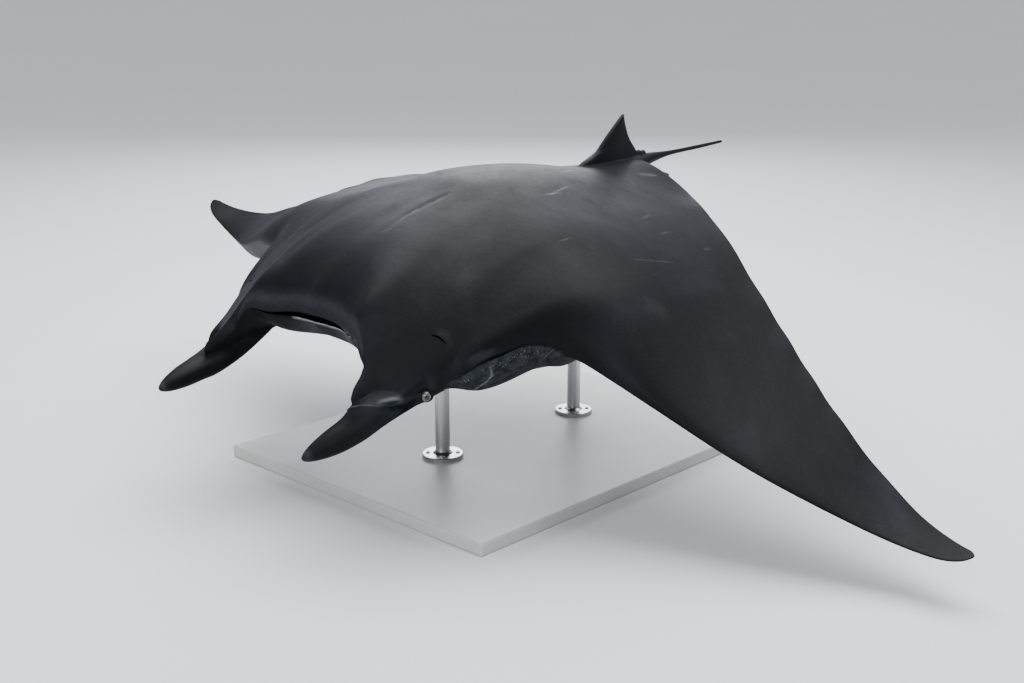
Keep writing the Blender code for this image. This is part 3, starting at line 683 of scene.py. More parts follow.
def buildDisc():
    # rings round the chord, back and underside, one for each place across the span:
    # the plain shape posed, evened, then moved out along its normals by the relief
    half = graded(discGrid["spanStops"], discGrid["spanSteps"])
    spans = np.concatenate([-half[:0:-1], half])
    across = spans[:, None]
    topChord, underChord = graded(discGrid["topStops"], discGrid["topSteps"]), underStations()
    underRows = leaningRows(across, underChord)
    topRows = np.broadcast_to(topChord, (len(spans), len(topChord)))
    chord = np.concatenate([topRows, underRows[:, ::-1]], axis=1)
    under = np.concatenate([np.zeros(len(topChord), bool), np.ones(len(underChord), bool)])[None, :]
    under = under + np.zeros_like(chord, bool)
    flat, below = discPoint(across + 0 * chord, chord, under)
    behind = flat[..., 1] - frontEdge(flat[..., 0])
    strength = window(np.abs(flat[..., 0]), *even["out"], even["soft"]) * ~under
    strength *= smoothStep(*even["behind"][:2], behind) * (1 - smoothStep(*even["behind"][2:], behind))
    rings = evened(placed(flat), strength)
    normals = ringNormals(rings)
    height, shadeHighlightAndPale, covers = relief(flat, below, under)
    rings = rings + normals * height[..., None]
    rings[..., 2] += rearRipple(flat[..., 0], chord)
    points, faces = closedTube(rings)
    flatAll = np.concatenate([flat.reshape(-1, 3), flat[[0, -1]].mean(axis=1)])
    ends = np.zeros(2)
    fields = skinFields(flatAll, np.append(under.reshape(-1).astype(float), ends + 0.5),
                        np.append(shadeHighlightAndPale.reshape(-1), ends), np.append(covers.reshape(-1), ends))
    print("disc:", len(spans), "by", chord.shape[1])
    return newMesh("disc", points, faces, fields)


def skinFields(flat, under, shadeHighlightAndPale=0.0, cover=0.0):
    # every piece of the skin carries the same point attributes, so that they live through the union
    zero = np.zeros(len(flat))
    return {"flatPlace": flat, "underside": under + zero, "shadeHighlightAndPale": shadeHighlightAndPale + zero, "gillCover": cover + zero,
            "known": 1 + zero}


# fins, tail and orbits, each a closed tube that is then joined to the disc

def tubeRings(path, halfWidths, halfHeights, tilts, corners):
    # oval rings square to a path, their width across the span and turned by the tilt
    along = np.gradient(path, axis=0)
    along /= np.linalg.norm(along, axis=1, keepdims=True)
    across = np.array([1.0, 0.0, 0.0]) - along[:, :1] * along
    across /= np.linalg.norm(across, axis=1, keepdims=True)
    upward = np.cross(across, along)
    upward *= np.where(upward[:, 2:] < 0, -1.0, 1.0)
    cosine, sine = np.cos(tilts)[:, None], np.sin(tilts)[:, None]
    wide, high = across * cosine - upward * sine, across * sine + upward * cosine
    turn = circle(corners)[None, :, None]
    return path[:, None] + wide[:, None] * halfWidths[:, None, None] * np.cos(turn) \
        + high[:, None] * halfHeights[:, None, None] * np.sin(turn)


def roundedEnd(t, start):
    # 1 along most of a length, then the quarter circle sqrt(1 - s^2) down to a blunt point
    return np.sqrt(1 - np.clip((t - start) / (1 - start), 0.0, 0.9995) ** 2)


def flatTube(name, rings, shade=0.0):
    # a closed tube given in the flat animal's frame
    points, faces = closedTube(rings)
    return newMesh(name, placed(points), faces, skinFields(points, shade))


headFin = {
    "steps": (0.0, 0.25, 0.5, 0.75, 1.0),
    "out": {"left": (0.107, 0.1072, 0.1046, 0.1005, 0.0907),
            "right": (0.1032, 0.1016, 0.1002, 0.0976, 0.0909)},
    "back": (0.03, -0.005, -0.03, -0.0467, -0.0851),
    "up": {"left": (-0.0128, -0.013, -0.0159, -0.0232, -0.0292),
           "right": (-0.0033, -0.0158, -0.0208, -0.02, -0.0176)},
    "halfWidth": (0.0219, 0.019, 0.0167, 0.0132, 0.0089),
    "halfHeight": (0.009, 0.0096, 0.0104, 0.0096, 0.0085),
    "tilt": (0.0, 0.0, 0.1407, 0.1316, 0.3504),
    "roundFrom": 0.8,
    "rings": 54,
    "corners": 44,
}


def buildHeadFin(side):
    # a paddle along a spline, its oval rings shrinking round the tip; rings crowd towards the tip as sin does
    t = np.sin(np.linspace(0.0, math.pi / 2, headFin["rings"]))
    steps = headFin["steps"]
    names = (headFin["out"][side], headFin["back"], headFin["up"][side])
    path = np.stack([spline(steps, values, t) for values in names], axis=-1)
    halfWidths = spline(steps, headFin["halfWidth"], t) * roundedEnd(t, headFin["roundFrom"])
    halfHeights = spline(steps, headFin["halfHeight"], t) * roundedEnd(t, headFin["roundFrom"])
    rings = tubeRings(path, halfWidths, halfHeights, spline(steps, headFin["tilt"], t), headFin["corners"])
    rings[..., 0] *= sides[side]
    return flatTube("headFin_" + side, rings)


# where the head's skin ends on the left horn: a raised rim of skin, and the small roll beside it
cuff = {
    "path": ((0.0915, -0.0372, -0.0125), (0.0951, -0.0378, -0.0098), (0.1017, -0.0360, -0.0076),
             (0.1067, -0.0323, -0.0067), (0.1145, -0.0276, -0.0077), (0.1188, -0.0237, -0.0091),
             (0.1226, -0.0174, -0.0106)),
    "radius": 0.0015,
    "rings": 70,
    "corners": 12,
}
roll = {
    "path": ((0.1128, -0.0240, -0.0064), (0.1174, -0.0172, -0.0070), (0.1206, -0.0100, -0.0076)),
    "halfWidth": 0.0028,
    "halfHeight": 0.0020,
    "rings": 22,
    "corners": 20,
}


def buildRim(name, line, halfWidth, halfHeight, fullness):
    # oval rings along a spline, swelling from both ends as (1 - (2t - 1)^n)^(1/n)
    t = np.linspace(0.0, 1.0, line["rings"])
    steps = np.linspace(0.0, 1.0, len(line["path"]))
    path = np.stack([spline(steps, values, t) for values in zip(*line["path"])], axis=-1)
    swelling = (1 - np.clip(np.abs(2 * t - 1), 0.0, 0.999) ** fullness) ** (1 / fullness)
    rings = tubeRings(path, halfWidth * swelling, halfHeight * swelling, 0 * t, line["corners"])
    return flatTube(name, rings)


orbit = {"at": (0.1192, 0.0098, -0.0133), "radii": (0.0099, 0.0208, 0.0046), "rings": 28, "corners": 40}


def ovalRings(centre, radii, rings, corners):
    # an oval ball: circles about the side-to-side axis, poles at its ends
    polar = np.linspace(0.02, math.pi - 0.02, rings)[:, None]
    turn = circle(corners)[None, :]
    high, low = np.sin(polar) * np.sin(turn), np.sin(polar) * np.cos(turn)
    return np.array(centre) + np.stack([np.cos(polar) + 0 * turn, low, high], axis=-1) * np.array(radii)


def buildOrbit(side):
    # the low oval swelling that the eye sits in
    rings = ovalRings(onSide(orbit["at"], side), orbit["radii"], orbit["rings"], orbit["corners"])
    return flatTube("orbit_" + side, rings)


def eyeFrame(side):
    # where an eye is and the way it faces, in the world
    centre = placed(onSide(eye["at"], side)[None])[0]
    tilt = np.array(Matrix.Rotation(pose["noseDown"], 3, "X"))
    look = tilt @ onSide(eye["lookOut"], side)
    look /= np.linalg.norm(look)
    upward = np.cross(look, np.cross((0.0, 0.0, 1.0), look))
    upward /= np.linalg.norm(upward)
    return centre, look, upward, np.cross(look, upward)


def buildLid(side):
    # a soft ring round the eye, darkened with painted shade: a torus about the way the eye faces, wider than
    # high
    centre, look, upward, sideways = eyeFrame(side)
    turn, around = circle(eye["lidCorners"]), circle(eye["lidRound"])
    radius, thick = eye["lidRadius"], eye["lidThick"]
    wide, high = sideways * eye["lidWide"], upward * eye["lidHigh"]
    ring = wide * np.cos(turn)[:, None] + high * np.sin(turn)[:, None]
    spokes = radius + thick * np.cos(around)
    points = centre + ring[:, None] * spokes[None, :, None] \
        + look * (eye["radius"] * eye["lidOut"] + thick * np.sin(around))[None, :, None]
    count, size = points.shape[:2]
    flat = np.broadcast_to(onSide(eye["at"], side), (count * size, 3))
    fields = skinFields(flat, 0.0, eye["lidShade"])
    return newMesh("lid_" + side, points.reshape(-1, 3), ringQuads(count, size), fields)


dorsalFin = {
    "height": (0.018, 0.036, 0.0440, 0.0466, 0.0482, 0.0524, 0.0594, 0.0672, 0.0714, 0.0730),
    "front": (0.325, 0.332, 0.346, 0.362, 0.3745, 0.3815, 0.3937, 0.4094, 0.4185, 0.4228),
    "rear": (0.446, 0.4340, 0.4292, 0.4280, 0.4273, 0.4260, 0.4246, 0.4238, 0.4236, 0.4236),
    "halfThick": 0.0060,
    "thinner": 0.72,                    # the share of its thickness lost at the tip
    "noseShare": (1.15, 0.35),
    "roundFrom": 0.985,
    "crowding": 1.4,
    "rings": 50,
    "corners": 44,
}


def buildDorsalFin():
    # rounded wing sections stacked up the fin: blunt in front, thin behind, thinner towards the tip
    t = 1 - (1 - np.linspace(0.0, 1.0, dorsalFin["rings"])) ** dorsalFin["crowding"]
    heights = dorsalFin["height"]
    up = heights[0] + (heights[-1] - heights[0]) * t
    front, rear = np.interp(up, heights, dorsalFin["front"]), np.interp(up, heights, dorsalFin["rear"])
    for edge in (front, rear):
        edge[1:-1] = (edge[:-2] + 2 * edge[1:-1] + edge[2:]) / 4
    half = dorsalFin["halfThick"] * (1 - dorsalFin["thinner"] * t) * roundedEnd(t, dorsalFin["roundFrom"])
    turn = circle(dorsalFin["corners"])[None, :]
    middle, change = dorsalFin["noseShare"]
    across = half[:, None] * np.sin(turn) * (middle - change * np.cos(turn))
    back = ((front + rear) / 2)[:, None] + ((rear - front) / 2)[:, None] * np.cos(turn)
    return flatTube("dorsalFin", np.stack([across, back, up[:, None] + 0 * turn], axis=-1))


tail = {
    "back": (0.395, 0.430, 0.455, 0.480, 0.530, 0.583),
    "up": (0.0140, 0.0195, 0.0178, 0.0142, 0.0054, -0.0036),
    "radius": (0.0080, 0.0085, 0.0058, 0.0031, 0.0020, 0.0014),
    "rings": 90,
    "corners": 24,
    "bossAt": ((0.0, 0.4385, 0.0268), (0.0, 0.4455, 0.0252)),
    "bossRadii": ((0.0040, 0.0052, 0.0050), (0.0034, 0.0044, 0.0042)),
    "bossGrid": (14, 20),
    "wider": 1.1,
    "roundFrom": 0.985,
}


def buildTail():
    # round rings along a falling spline, closed with a blunt round end
    t = np.linspace(0.0, 1.0, tail["rings"])
    back = tail["back"][0] + (tail["back"][-1] - tail["back"][0]) * t
    path = np.stack([0 * back, back, spline(tail["back"], tail["up"], back)], axis=-1)
    radii = spline(tail["back"], tail["radius"], back) * roundedEnd(t, tail["roundFrom"])
    pieces = [flatTube("tail", tubeRings(path, radii * tail["wider"], radii, 0 * t, tail["corners"]))]
    for number, (centre, bossRadii) in enumerate(zip(tail["bossAt"], tail["bossRadii"])):
        pieces.append(flatTube(f"boss_{number}", ovalRings(centre, bossRadii, *tail["bossGrid"])))
    return pieces


pelvicFin = {
    "out": (0.014, 0.018, 0.022, 0.026),
    "back": (0.405, 0.428, 0.442, 0.4505),
    "up": (0.003, 0.004, 0.005, 0.004),
    "halfWidth": (0.010, 0.013, 0.012, 0.008),
    "halfHeight": (0.0055, 0.0050, 0.0035, 0.0018),
    "roundFrom": (0.7, 0.85),           # where its width and its height start to close
    "underside": 0.5,
    "rings": 28,
    "corners": 32,
}


def buildPelvicFin(side):
    # a low blunt lobe beside the root of the tail: oval rings along a spline
    t = np.linspace(0.0, 1.0, pelvicFin["rings"])
    steps = np.linspace(0.0, 1.0, len(pelvicFin["out"]))
    widthFrom, heightFrom = pelvicFin["roundFrom"]
    path = np.stack([spline(steps, pelvicFin[name], t) for name in ("out", "back", "up")], axis=-1)
    halfWidths = spline(steps, pelvicFin["halfWidth"], t) * roundedEnd(t, widthFrom)
    halfHeights = spline(steps, pelvicFin["halfHeight"], t) * roundedEnd(t, heightFrom)
    rings = tubeRings(path, halfWidths, halfHeights, 0 * t, pelvicFin["corners"])
    rings[..., 0] *= sides[side]
    return flatTube("pelvicFin_" + side, rings, pelvicFin["underside"])


# the skin: everything of flesh as one closed surface

skinBlend = {
    "passes": 7,
    "reach": 0.022,         # metres along the surface from a joint
    "strength": 0.5,
    "foreign": 0.03,
    "known": 0.99,          # the union mixes the fields, so a new point's share is a little below 1
    "fills": 6,
    "walks": 12,
}


def joinSkin(base, others):
    # one Boolean union of the disc with every fin, then its result kept as a plain mesh
    others = list(others)
    group = bpy.data.collections.new("joined")
    for other in others:
        group.objects.link(other)
    union = base.modifiers.new("union", "BOOLEAN")
    union.operation = "UNION"
    union.operand_type = "COLLECTION"
    union.collection = group
    union.solver = "EXACT"
    bpy.context.view_layer.update()
    evaluated = base.evaluated_get(bpy.context.evaluated_depsgraph_get())
    mesh = bpy.data.meshes.new_from_object(evaluated)
    mesh.name = "skin"
    skin = newObject("skin", mesh)
    for old in [base] + others:
        bpy.data.objects.remove(old, do_unlink=True)
    bpy.data.collections.remove(group)
    return skin


def neighbours(mesh):
    # the two ends of every edge
    ends = np.empty(len(mesh.edges) * 2, int)
    mesh.edges.foreach_get("vertices", ends)
    return ends.reshape(-1, 2)


def spread(values, ends, count):
    # the mean of each point's neighbours, summed over the edges
    total = np.zeros((count,) + values.shape[1:])
    np.add.at(total, ends[:, 0], values[ends[:, 1]])
    np.add.at(total, ends[:, 1], values[ends[:, 0]])
    degree = np.bincount(ends.ravel(), minlength=count)
    return total / np.maximum(degree, 1).reshape((-1,) + (1,) * (values.ndim - 1))


def softenJoints(skin):
    # points made by the union know nothing: they take their fields from their neighbours,
    # and the surface round them is relaxed, less and less with distance along the edges
    mesh = skin.data
    count = len(mesh.vertices)
    ends = neighbours(mesh)
    points = meshPoints(mesh)
    known = getField(mesh, "known", 1) > skinBlend["known"]
    names = ("underside", "shadeHighlightAndPale", "gillCover")
    flat = unplaced(points)
    single = np.stack([getField(mesh, name, 1).astype(float) for name in names], axis=-1)
    # the union gives the fins' points the disc's fields: those far from where they say they are start plain
    foreign = np.linalg.norm(getField(mesh, "flatPlace", 3) - flat, axis=1) > skinBlend["foreign"]
    single[foreign] = 0.0
    print("skin:", count, "points,", int((~known).sum()), "at the joints")
    for _ in range(skinBlend["fills"]):
        weight = spread(known.astype(float), ends, count)
        meanSingle = spread(single * known[:, None], ends, count) / np.maximum(weight, 1e-9)[:, None]
        fill = ~known & (weight > 0)
        single[fill] = meanSingle[fill]
        known = known | fill
    joints = getField(mesh, "known", 1) < skinBlend["known"]
    reach = np.where(joints, 0.0, 1.0)
    lengths = np.linalg.norm(points[ends[:, 0]] - points[ends[:, 1]], axis=1)
    for _ in range(skinBlend["walks"]):
        np.minimum.at(reach, ends[:, 0], reach[ends[:, 1]] + lengths)
        np.minimum.at(reach, ends[:, 1], reach[ends[:, 0]] + lengths)
    strength = skinBlend["strength"] * (1 - smoothStep(0.0, skinBlend["reach"], reach))
    for _ in range(skinBlend["passes"]):
        points += (spread(points, ends, count) - points) * strength[:, None]
    mesh.vertices.foreach_set("co", points.ravel())
    setField(mesh, "flatPlace", flat)
    for name, values in zip(names, single.T):
        setField(mesh, name, values)
    mesh.attributes.remove(mesh.attributes["known"])
    mesh.shade_smooth()
    mesh.update()


discSkin = buildDisc()
fins = [buildDorsalFin()] + buildTail()
for side in sides:
    fins += [buildHeadFin(side), buildOrbit(side), buildLid(side), buildPelvicFin(side)]
fins.append(buildRim("cuff", cuff, cuff["radius"], cuff["radius"], 6.0))
fins.append(buildRim("roll", roll, roll["halfWidth"], roll["halfHeight"], 2.0))
skin = joinSkin(discSkin, fins)
softenJoints(skin)
print("skin joined:", len(meshTriangles(skin.data)), "triangles")
fleshNodes = [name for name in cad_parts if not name.startswith(("stand_", "eye_"))]
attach(skin, "root")
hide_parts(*fleshNodes)


# eyes

def buildEye(side):
    # a ball about the way it faces, with a low clear bulge in front; "look" is the angle from that way
    centre, look, upward, sideways = eyeFrame(side)
    polar = np.linspace(0.0, math.pi, eye["rings"])[1:-1, None]
    turn = circle(eye["corners"])[None, :]
    radius = eye["radius"] + eye["corneaBulge"] * bell(polar, eye["corneaWidth"])
    ring = sideways * np.cos(turn)[..., None] + upward * np.sin(turn)[..., None]
    rings = centre + (radius * np.cos(polar))[..., None] * look + (radius * np.sin(polar))[..., None] * ring
    points, faces = closedTube(rings)
    points[-2] = centre + look * (eye["radius"] + eye["corneaBulge"])
    points[-1] = centre - look * eye["radius"]
    angles = np.concatenate([(polar + 0 * turn).reshape(-1), [0.0, math.pi]])
    ball = newMesh("eye_ball_" + side, points, faces, {"look": angles})
    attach(ball, "root")
    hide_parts("eye_" + side)
    return ball


eyes = [buildEye(side) for side in sides]
print("eyes made")


# the stand

stand = {
    "sharpFrom": 32,            # degrees: edges sharper than this stay crisp
    "castFrom": 0.2,            # the height from which the belly is looked for
    "rodCorners": 72,
    "rodSplit": 0.3,            # one ring part way up the rod, as a share of its height
    "rodGap": 0.0008,           # left free between the rod's top and the belly
    "collarHeight": 0.030,
    "collarThick": 0.007,
    "collarEdge": 0.002,
    "collarFit": 0.0004,
    "collarGap": 0.0012,
    "chamfer": 0.0025,
    "flangeFit": 0.0006,
    "hub": ((0.012, 0.0), (0.0045, 0.006), (0.0006, 0.008)),    # out from the rod and up from the flange
    "boltCount": 4,
    "firstBolt": 45,            # degrees round from +X
    "boltCorners": 24,
    "boltCircle": 0.062,
    "boltRadius": 0.0085,
    "boltHeight": 0.0055,
    "boltEdge": 0.0012,
    "boltGap": 0.0002,
    "socketRadius": 0.0042,
    "socketDepth": 0.0035,
    "socketEdge": 0.0006,
}


def turned(profile, centre, corners):
    # a profile of (radius, height) carried once round an upright axis
    turn = circle(corners)
    profile = np.asarray(profile)
    x = centre[0] + profile[:, :1] * np.cos(turn)
    y = centre[1] + profile[:, :1] * np.sin(turn)
    return np.stack([x, y, profile[:, 1:] + 0 * turn], axis=-1)


def steelPiece(thing, node=None):
    thing.data.set_sharp_from_angle(angle=math.radians(stand["sharpFrom"]))
    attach(thing, "root")
    if node:
        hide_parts(node)
    return thing


def solid(name, rings, node=None):
    # rings stacked upwards and closed at both ends
    points, faces = closedTube(np.asarray(rings))
    return steelPiece(newMesh(name, points, faces), node)


def openRing(name, rings, node=None):
    # a ring with a hole: rings of points carried once round, the last joined back to the first
    rings = np.asarray(rings)
    return steelPiece(newMesh(name, rings.reshape(-1, 3), ringQuads(*rings.shape[:2])), node)


def skinTree():
    # the skin's triangles, ready to be looked up from below
    return BVHTree.FromPolygons(meshPoints(skin.data).tolist(), meshTriangles(skin.data).tolist())


def buildBolts(end, centre, radius, face):
    # socket-head bolts on a circle round the rod, each a profile turned about its own axis
    top, socket, width = face + stand["boltHeight"], stand["socketRadius"], stand["boltRadius"]
    edge, socketEdge = stand["boltEdge"], stand["socketEdge"]
    profile = [(width, face + stand["boltGap"]), (width, top - edge), (width - edge, top),
               (socket + socketEdge, top), (socket, top - socketEdge), (socket, top - stand["socketDepth"])]
    made = []
    for number in range(stand["boltCount"]):
        angle = math.radians(stand["firstBolt"] + 360 / stand["boltCount"] * number)
        spot = (centre[0] + radius * math.cos(angle), centre[1] + radius * math.sin(angle))
        made.append(solid(f"rod_bolt_{end}_{number}", turned(profile, spot, stand["boltCorners"])))
    return made


def buildRod(end, tree):
    # a rod up to the belly, its top cut to the belly's slope, with a collar under it and a bolted flange
    low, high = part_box("stand_rod_" + end)
    flangeLow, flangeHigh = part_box("stand_flange_" + end)
    x, y, radius = (low.x + high.x) / 2, (low.y + high.y) / 2, (high.x - low.x) / 2
    turn = circle(stand["rodCorners"])

    def bellyOver(reach):
        # the belly's height round a circle about the rod
        spots = np.stack([x + reach * np.cos(turn), y + reach * np.sin(turn)], axis=-1).tolist()
        hits = [tree.ray_cast(Vector((*spot, stand["castFrom"])), Vector((0, 0, 1)))[0] for spot in spots]
        return np.array([hit.z for hit in hits])

    def ring(reach, z):
        return np.stack([x + reach * np.cos(turn), y + reach * np.sin(turn), z + 0 * turn], axis=-1)

    top = bellyOver(radius) - stand["rodGap"]
    split = low.z + stand["rodSplit"] * (top - low.z)
    rod = [ring(radius, low.z), ring(radius, split), ring(radius, top)]
    made = [solid("rod_" + end, rod, "stand_rod_" + end)]

    inner, outer, edge = radius + stand["collarFit"], radius + stand["collarThick"], stand["collarEdge"]
    collarTop = bellyOver(outer) - stand["collarGap"]
    innerTop = np.minimum(bellyOver(inner), collarTop) - stand["collarGap"]
    foot = collarTop - stand["collarHeight"]
    collar = [ring(inner, foot), ring(outer - edge, foot), ring(outer, foot + edge),
              ring(outer, collarTop - edge), ring(outer - edge, collarTop), ring(inner, innerTop)]
    made.append(openRing("rod_collar_" + end, collar))

    rim, chamfer, face = (flangeHigh.x - flangeLow.x) / 2, stand["chamfer"], flangeHigh.z
    profile = [(radius + stand["flangeFit"], flangeLow.z), (rim, flangeLow.z)]
    profile += [(rim, face - chamfer), (rim - chamfer, face)]
    profile += [(radius + out, face + up) for out, up in stand["hub"]]
    rings = turned(profile, (x, y), stand["rodCorners"])
    made.append(openRing("rod_flange_" + end, rings, "stand_flange_" + end))
    return made + buildBolts(end, (x, y), stand["boltCircle"], face)


tree = skinTree()
steelPieces = [piece for end in ("front", "rear") for piece in buildRod(end, tree)]
print("stand made")


# material nodes written as arithmetic

class Signal:
    # a socket in a material's tree; + - * / on it add Math nodes, and make() adds any other node
    def __init__(self, tree, socket=None):
        self.tree, self.socket = tree, socket

    def make(self, kind, settings=None, inputs=None, output=0):
        node = self.tree.nodes.new(kind)
        for key, value in (settings or {}).items():
            setattr(node, key, value)
        for key, value in (inputs or {}).items():
            self.feed(node.inputs[key], value)
        return Signal(self.tree, node.outputs[output])

    def feed(self, socket, value):
        if isinstance(value, Signal):
            self.tree.links.new(value.socket, socket)
        else:
            socket.default_value = value

    def math(self, operation, *others):
        return self.make("ShaderNodeMath", {"operation": operation}, dict(enumerate((self,) + others)))

    def __add__(self, other):
        return self.math("ADD", other)

    def __sub__(self, other):
        return self.math("SUBTRACT", other)

    def __rsub__(self, other):
        return self.make("ShaderNodeMath", {"operation": "SUBTRACT"}, {0: other, 1: self})

    def __mul__(self, other):
        return self.math("MULTIPLY", other)

    def __truediv__(self, other):
        return self.math("DIVIDE", other)

    __radd__, __rmul__ = __add__, __mul__

    def __neg__(self):
        return self.math("MULTIPLY", -1.0)

    def __abs__(self):
        return self.math("ABSOLUTE")

    def clamped(self):
        return self.math("MAXIMUM", 0.0).math("MINIMUM", 1.0)

    def between(self, low, high):
        # 0 at low, 1 at high, smooth on the way
        inputs = {"Value": self, "From Min": low, "From Max": high}
        return self.make("ShaderNodeMapRange", {"interpolation_type": "SMOOTHSTEP"}, inputs)

    def bell(self, width):
        # exp(-(x / width)^2)
        scaled = self / width
        return self.make("ShaderNodeMath", {"operation": "EXPONENT"}, {0: scaled * scaled * -1.0})

    def field(self, name, output):
        # a point attribute of the mesh: output 1 is a vector, 2 a number
        return self.make("ShaderNodeAttribute", {"attribute_name": name}, None, output)

    def objectPlace(self):
        return self.make("ShaderNodeTexCoord", None, None, 3)

    def plane(self, other):
        return self.make("ShaderNodeCombineXYZ", None, {0: self, 1: other})

    def parts(self):
        return [self.make("ShaderNodeSeparateXYZ", None, {0: self}, i) for i in range(3)]

    def dot(self, vector):
        return self.make("ShaderNodeVectorMath", {"operation": "DOT_PRODUCT"}, {0: self, 1: vector}, 1)

    def less(self, vector):
        return self.make("ShaderNodeVectorMath", {"operation": "SUBTRACT"}, {0: self, 1: vector})

    def stroke(self, start, end, halfWidth):
        # 1 on a straight stroke between two places of the plane, falling off as a bell to its sides and ends
        start, end = np.array(start), np.array(end)
        half = np.linalg.norm(end - start) / 2
        unit = (end - start) / (2 * half)
        offset = self.less((*((start + end) / 2), 0.0))
        along = offset.dot((*(unit / (half + halfWidth)), 0.0))
        aside = offset.dot((-unit[1] / halfWidth, unit[0] / halfWidth, 0.0))
        square = along * along
        return self.make("ShaderNodeMath", {"operation": "EXPONENT"}, {0: -(square * square + aside * aside)})

    def stretched(self, scale):
        return self.make("ShaderNodeVectorMath", {"operation": "MULTIPLY"}, {0: self, 1: scale})

    def noise(self, scale, detail=3.0, roughness=0.55, distortion=0.0):
        inputs = {"Vector": self, "Scale": scale, "Detail": detail}
        inputs.update({"Roughness": roughness, "Distortion": distortion})
        return self.make("ShaderNodeTexNoise", None, inputs)

    def cells(self, scale, jitter=1.0):
        # distance to the nearest point of a scattered set
        return self.make("ShaderNodeTexVoronoi", None, {"Vector": self, "Scale": scale, "Randomness": jitter})


def mixed(factor, first, second):
    # first where the factor is 0, second where it is 1; sockets 6 and 7 take the two colours
    first, second = [value if isinstance(value, Signal) else (*value, 1.0) for value in (first, second)]
    return factor.make("ShaderNodeMix", {"data_type": "RGBA"}, {0: factor, 6: first, 7: second}, 2)


def newMaterial(name, **constants):
    # a Principled material, its constant sockets set, and a signal to start expressions from
    material = bpy.data.materials.new(name)
    material.use_nodes = True
    shader = material.node_tree.nodes["Principled BSDF"]
    for key, value in constants.items():
        shader.inputs[key.replace("_", " ")].default_value = value
    return material, shader, Signal(material.node_tree)


def mixInShadow(material, shader, share):
    # the material's own shader where the share is 0, a black without shine where it is 1
    black = {"Base Color": (*hide["paintedShadeBlack"], 1.0), "Roughness": 1.0, "Specular IOR Level": 0.0}
    shadow = share.make("ShaderNodeBsdfPrincipled", None, black)
    own = Signal(share.tree, shader.outputs[0])
    both = share.make("ShaderNodeMixShader", None, {0: share, 1: own, 2: shadow})
    share.feed(material.node_tree.nodes["Material Output"].inputs["Surface"], both)


def bump(height, distance, strength=1.0, before=None):
    # a normal tilted by the height's slope, on top of an earlier one
    inputs = {"Height": height, "Distance": distance, "Strength": strength}
    if before:
        inputs["Normal"] = before
    return height.make("ShaderNodeBump", None, inputs)


# hide

hide = {
    "black": (0.0062, 0.0072, 0.0098),
    "cloud": (0.0210, 0.0245, 0.0310),
    "belly": (0.0130, 0.0140, 0.0165),
    "gillGrey": (0.0480, 0.0540, 0.0620),
    "gillDark": (0.0135, 0.0150, 0.0180),
    "grain": (0.34, 0.37, 0.39),
    # the lower lip's pale rim and the spiracles' bumps, and painted highlights on the upper lip's roll and
    # the raised fold
    "paleRimAndHighlight": (0.46, 0.50, 0.53),
    "pale": (0.17, 0.185, 0.20),
    "scratch": (0.060, 0.066, 0.074),
    # painted highlights above the eyes and on the left horn's roll and rim, and the horns' paler tips
    "soft": (0.100, 0.110, 0.122),
    # painted shade: the black without shine that is mixed in where shadow falls
    "paintedShadeBlack": (0.0022, 0.0022, 0.0026),
}

marks = (
    # from, to (across, back), half width, strength: flecks and scars of the back
    ((0.0178, 0.3117), (0.0050, 0.3429), 0.0011, 0.55),
    ((0.0409, 0.2814), (0.0363, 0.3009), 0.0011, 0.60),
    ((0.0330, 0.3200), (0.0290, 0.3330), 0.0012, 0.35),
    ((0.0800, 0.2216), (0.0719, 0.2521), 0.0011, 0.65),
    ((0.0795, 0.2149), (0.0809, 0.2304), 0.0010, 0.50),
    ((0.0391, 0.3910), (0.0415, 0.4104), 0.0024, 0.60),
    ((0.1248, 0.2775), (0.1201, 0.2945), 0.0011, 0.45),
    ((0.1452, 0.2742), (0.1438, 0.2867), 0.0010, 0.35),
    ((0.0997, 0.3841), (0.1067, 0.3882), 0.0012, 0.45),
    ((0.1690, 0.3050), (0.1695, 0.3130), 0.0012, 0.30),
    ((0.1621, 0.2091), (0.1741, 0.2468), 0.0008, 0.22),
    ((0.0000, 0.3600), (-0.0020, 0.3780), 0.0030, 0.35),
    ((0.0198, 0.0885), (0.0187, 0.1056), 0.0017, 0.34),
    ((0.0187, 0.1056), (0.0186, 0.1231), 0.0018, 0.40),
    ((0.0186, 0.1231), (0.0196, 0.1400), 0.0018, 0.34),
    ((0.0196, 0.1400), (0.0220, 0.1532), 0.0016, 0.20),
    ((-0.1010, 0.3300), (-0.0930, 0.3420), 0.0012, 0.40),
    ((-0.0620, 0.2500), (-0.0560, 0.2700), 0.0011, 0.35),
)

smudges = (
    # from, to (across, back), half width, strength: soft lighter clouds
    ((0.1175, 0.2209), (0.1323, 0.2384), 0.0080, 0.40),
    ((0.1064, 0.0780), (0.1070, 0.0860), 0.0080, 0.35),
    ((0.2004, 0.1860), (0.2060, 0.1930), 0.0070, 0.32),
    ((-0.0608, 0.0273), (-0.0552, 0.0518), 0.0060, 0.34),
    ((-0.0552, 0.0518), (-0.0498, 0.0822), 0.0050, 0.34),
    ((-0.0498, 0.0822), (-0.0406, 0.1212), 0.0045, 0.26),
    ((-0.0050, 0.1900), (0.0150, 0.3000), 0.0090, 0.22),
    ((0.0400, 0.2300), (0.0450, 0.3000), 0.0070, 0.20),
    ((0.0900, 0.1700), (0.1000, 0.1900), 0.0110, 0.24),
    ((0.0650, 0.0500), (0.0500, 0.0750), 0.0110, 0.20),
)

hornHighlights = (
    # painted highlights on the roll on the left horn's root and on the rim in front of it
    ((0.1138, -0.0225), (0.1196, -0.0118), 0.0020, 1.25),
    ((0.0930, -0.0378), (0.1005, -0.0362), 0.0010, 0.80),
    ((0.1005, -0.0362), (0.1120, -0.0295), 0.0010, 0.60),
)


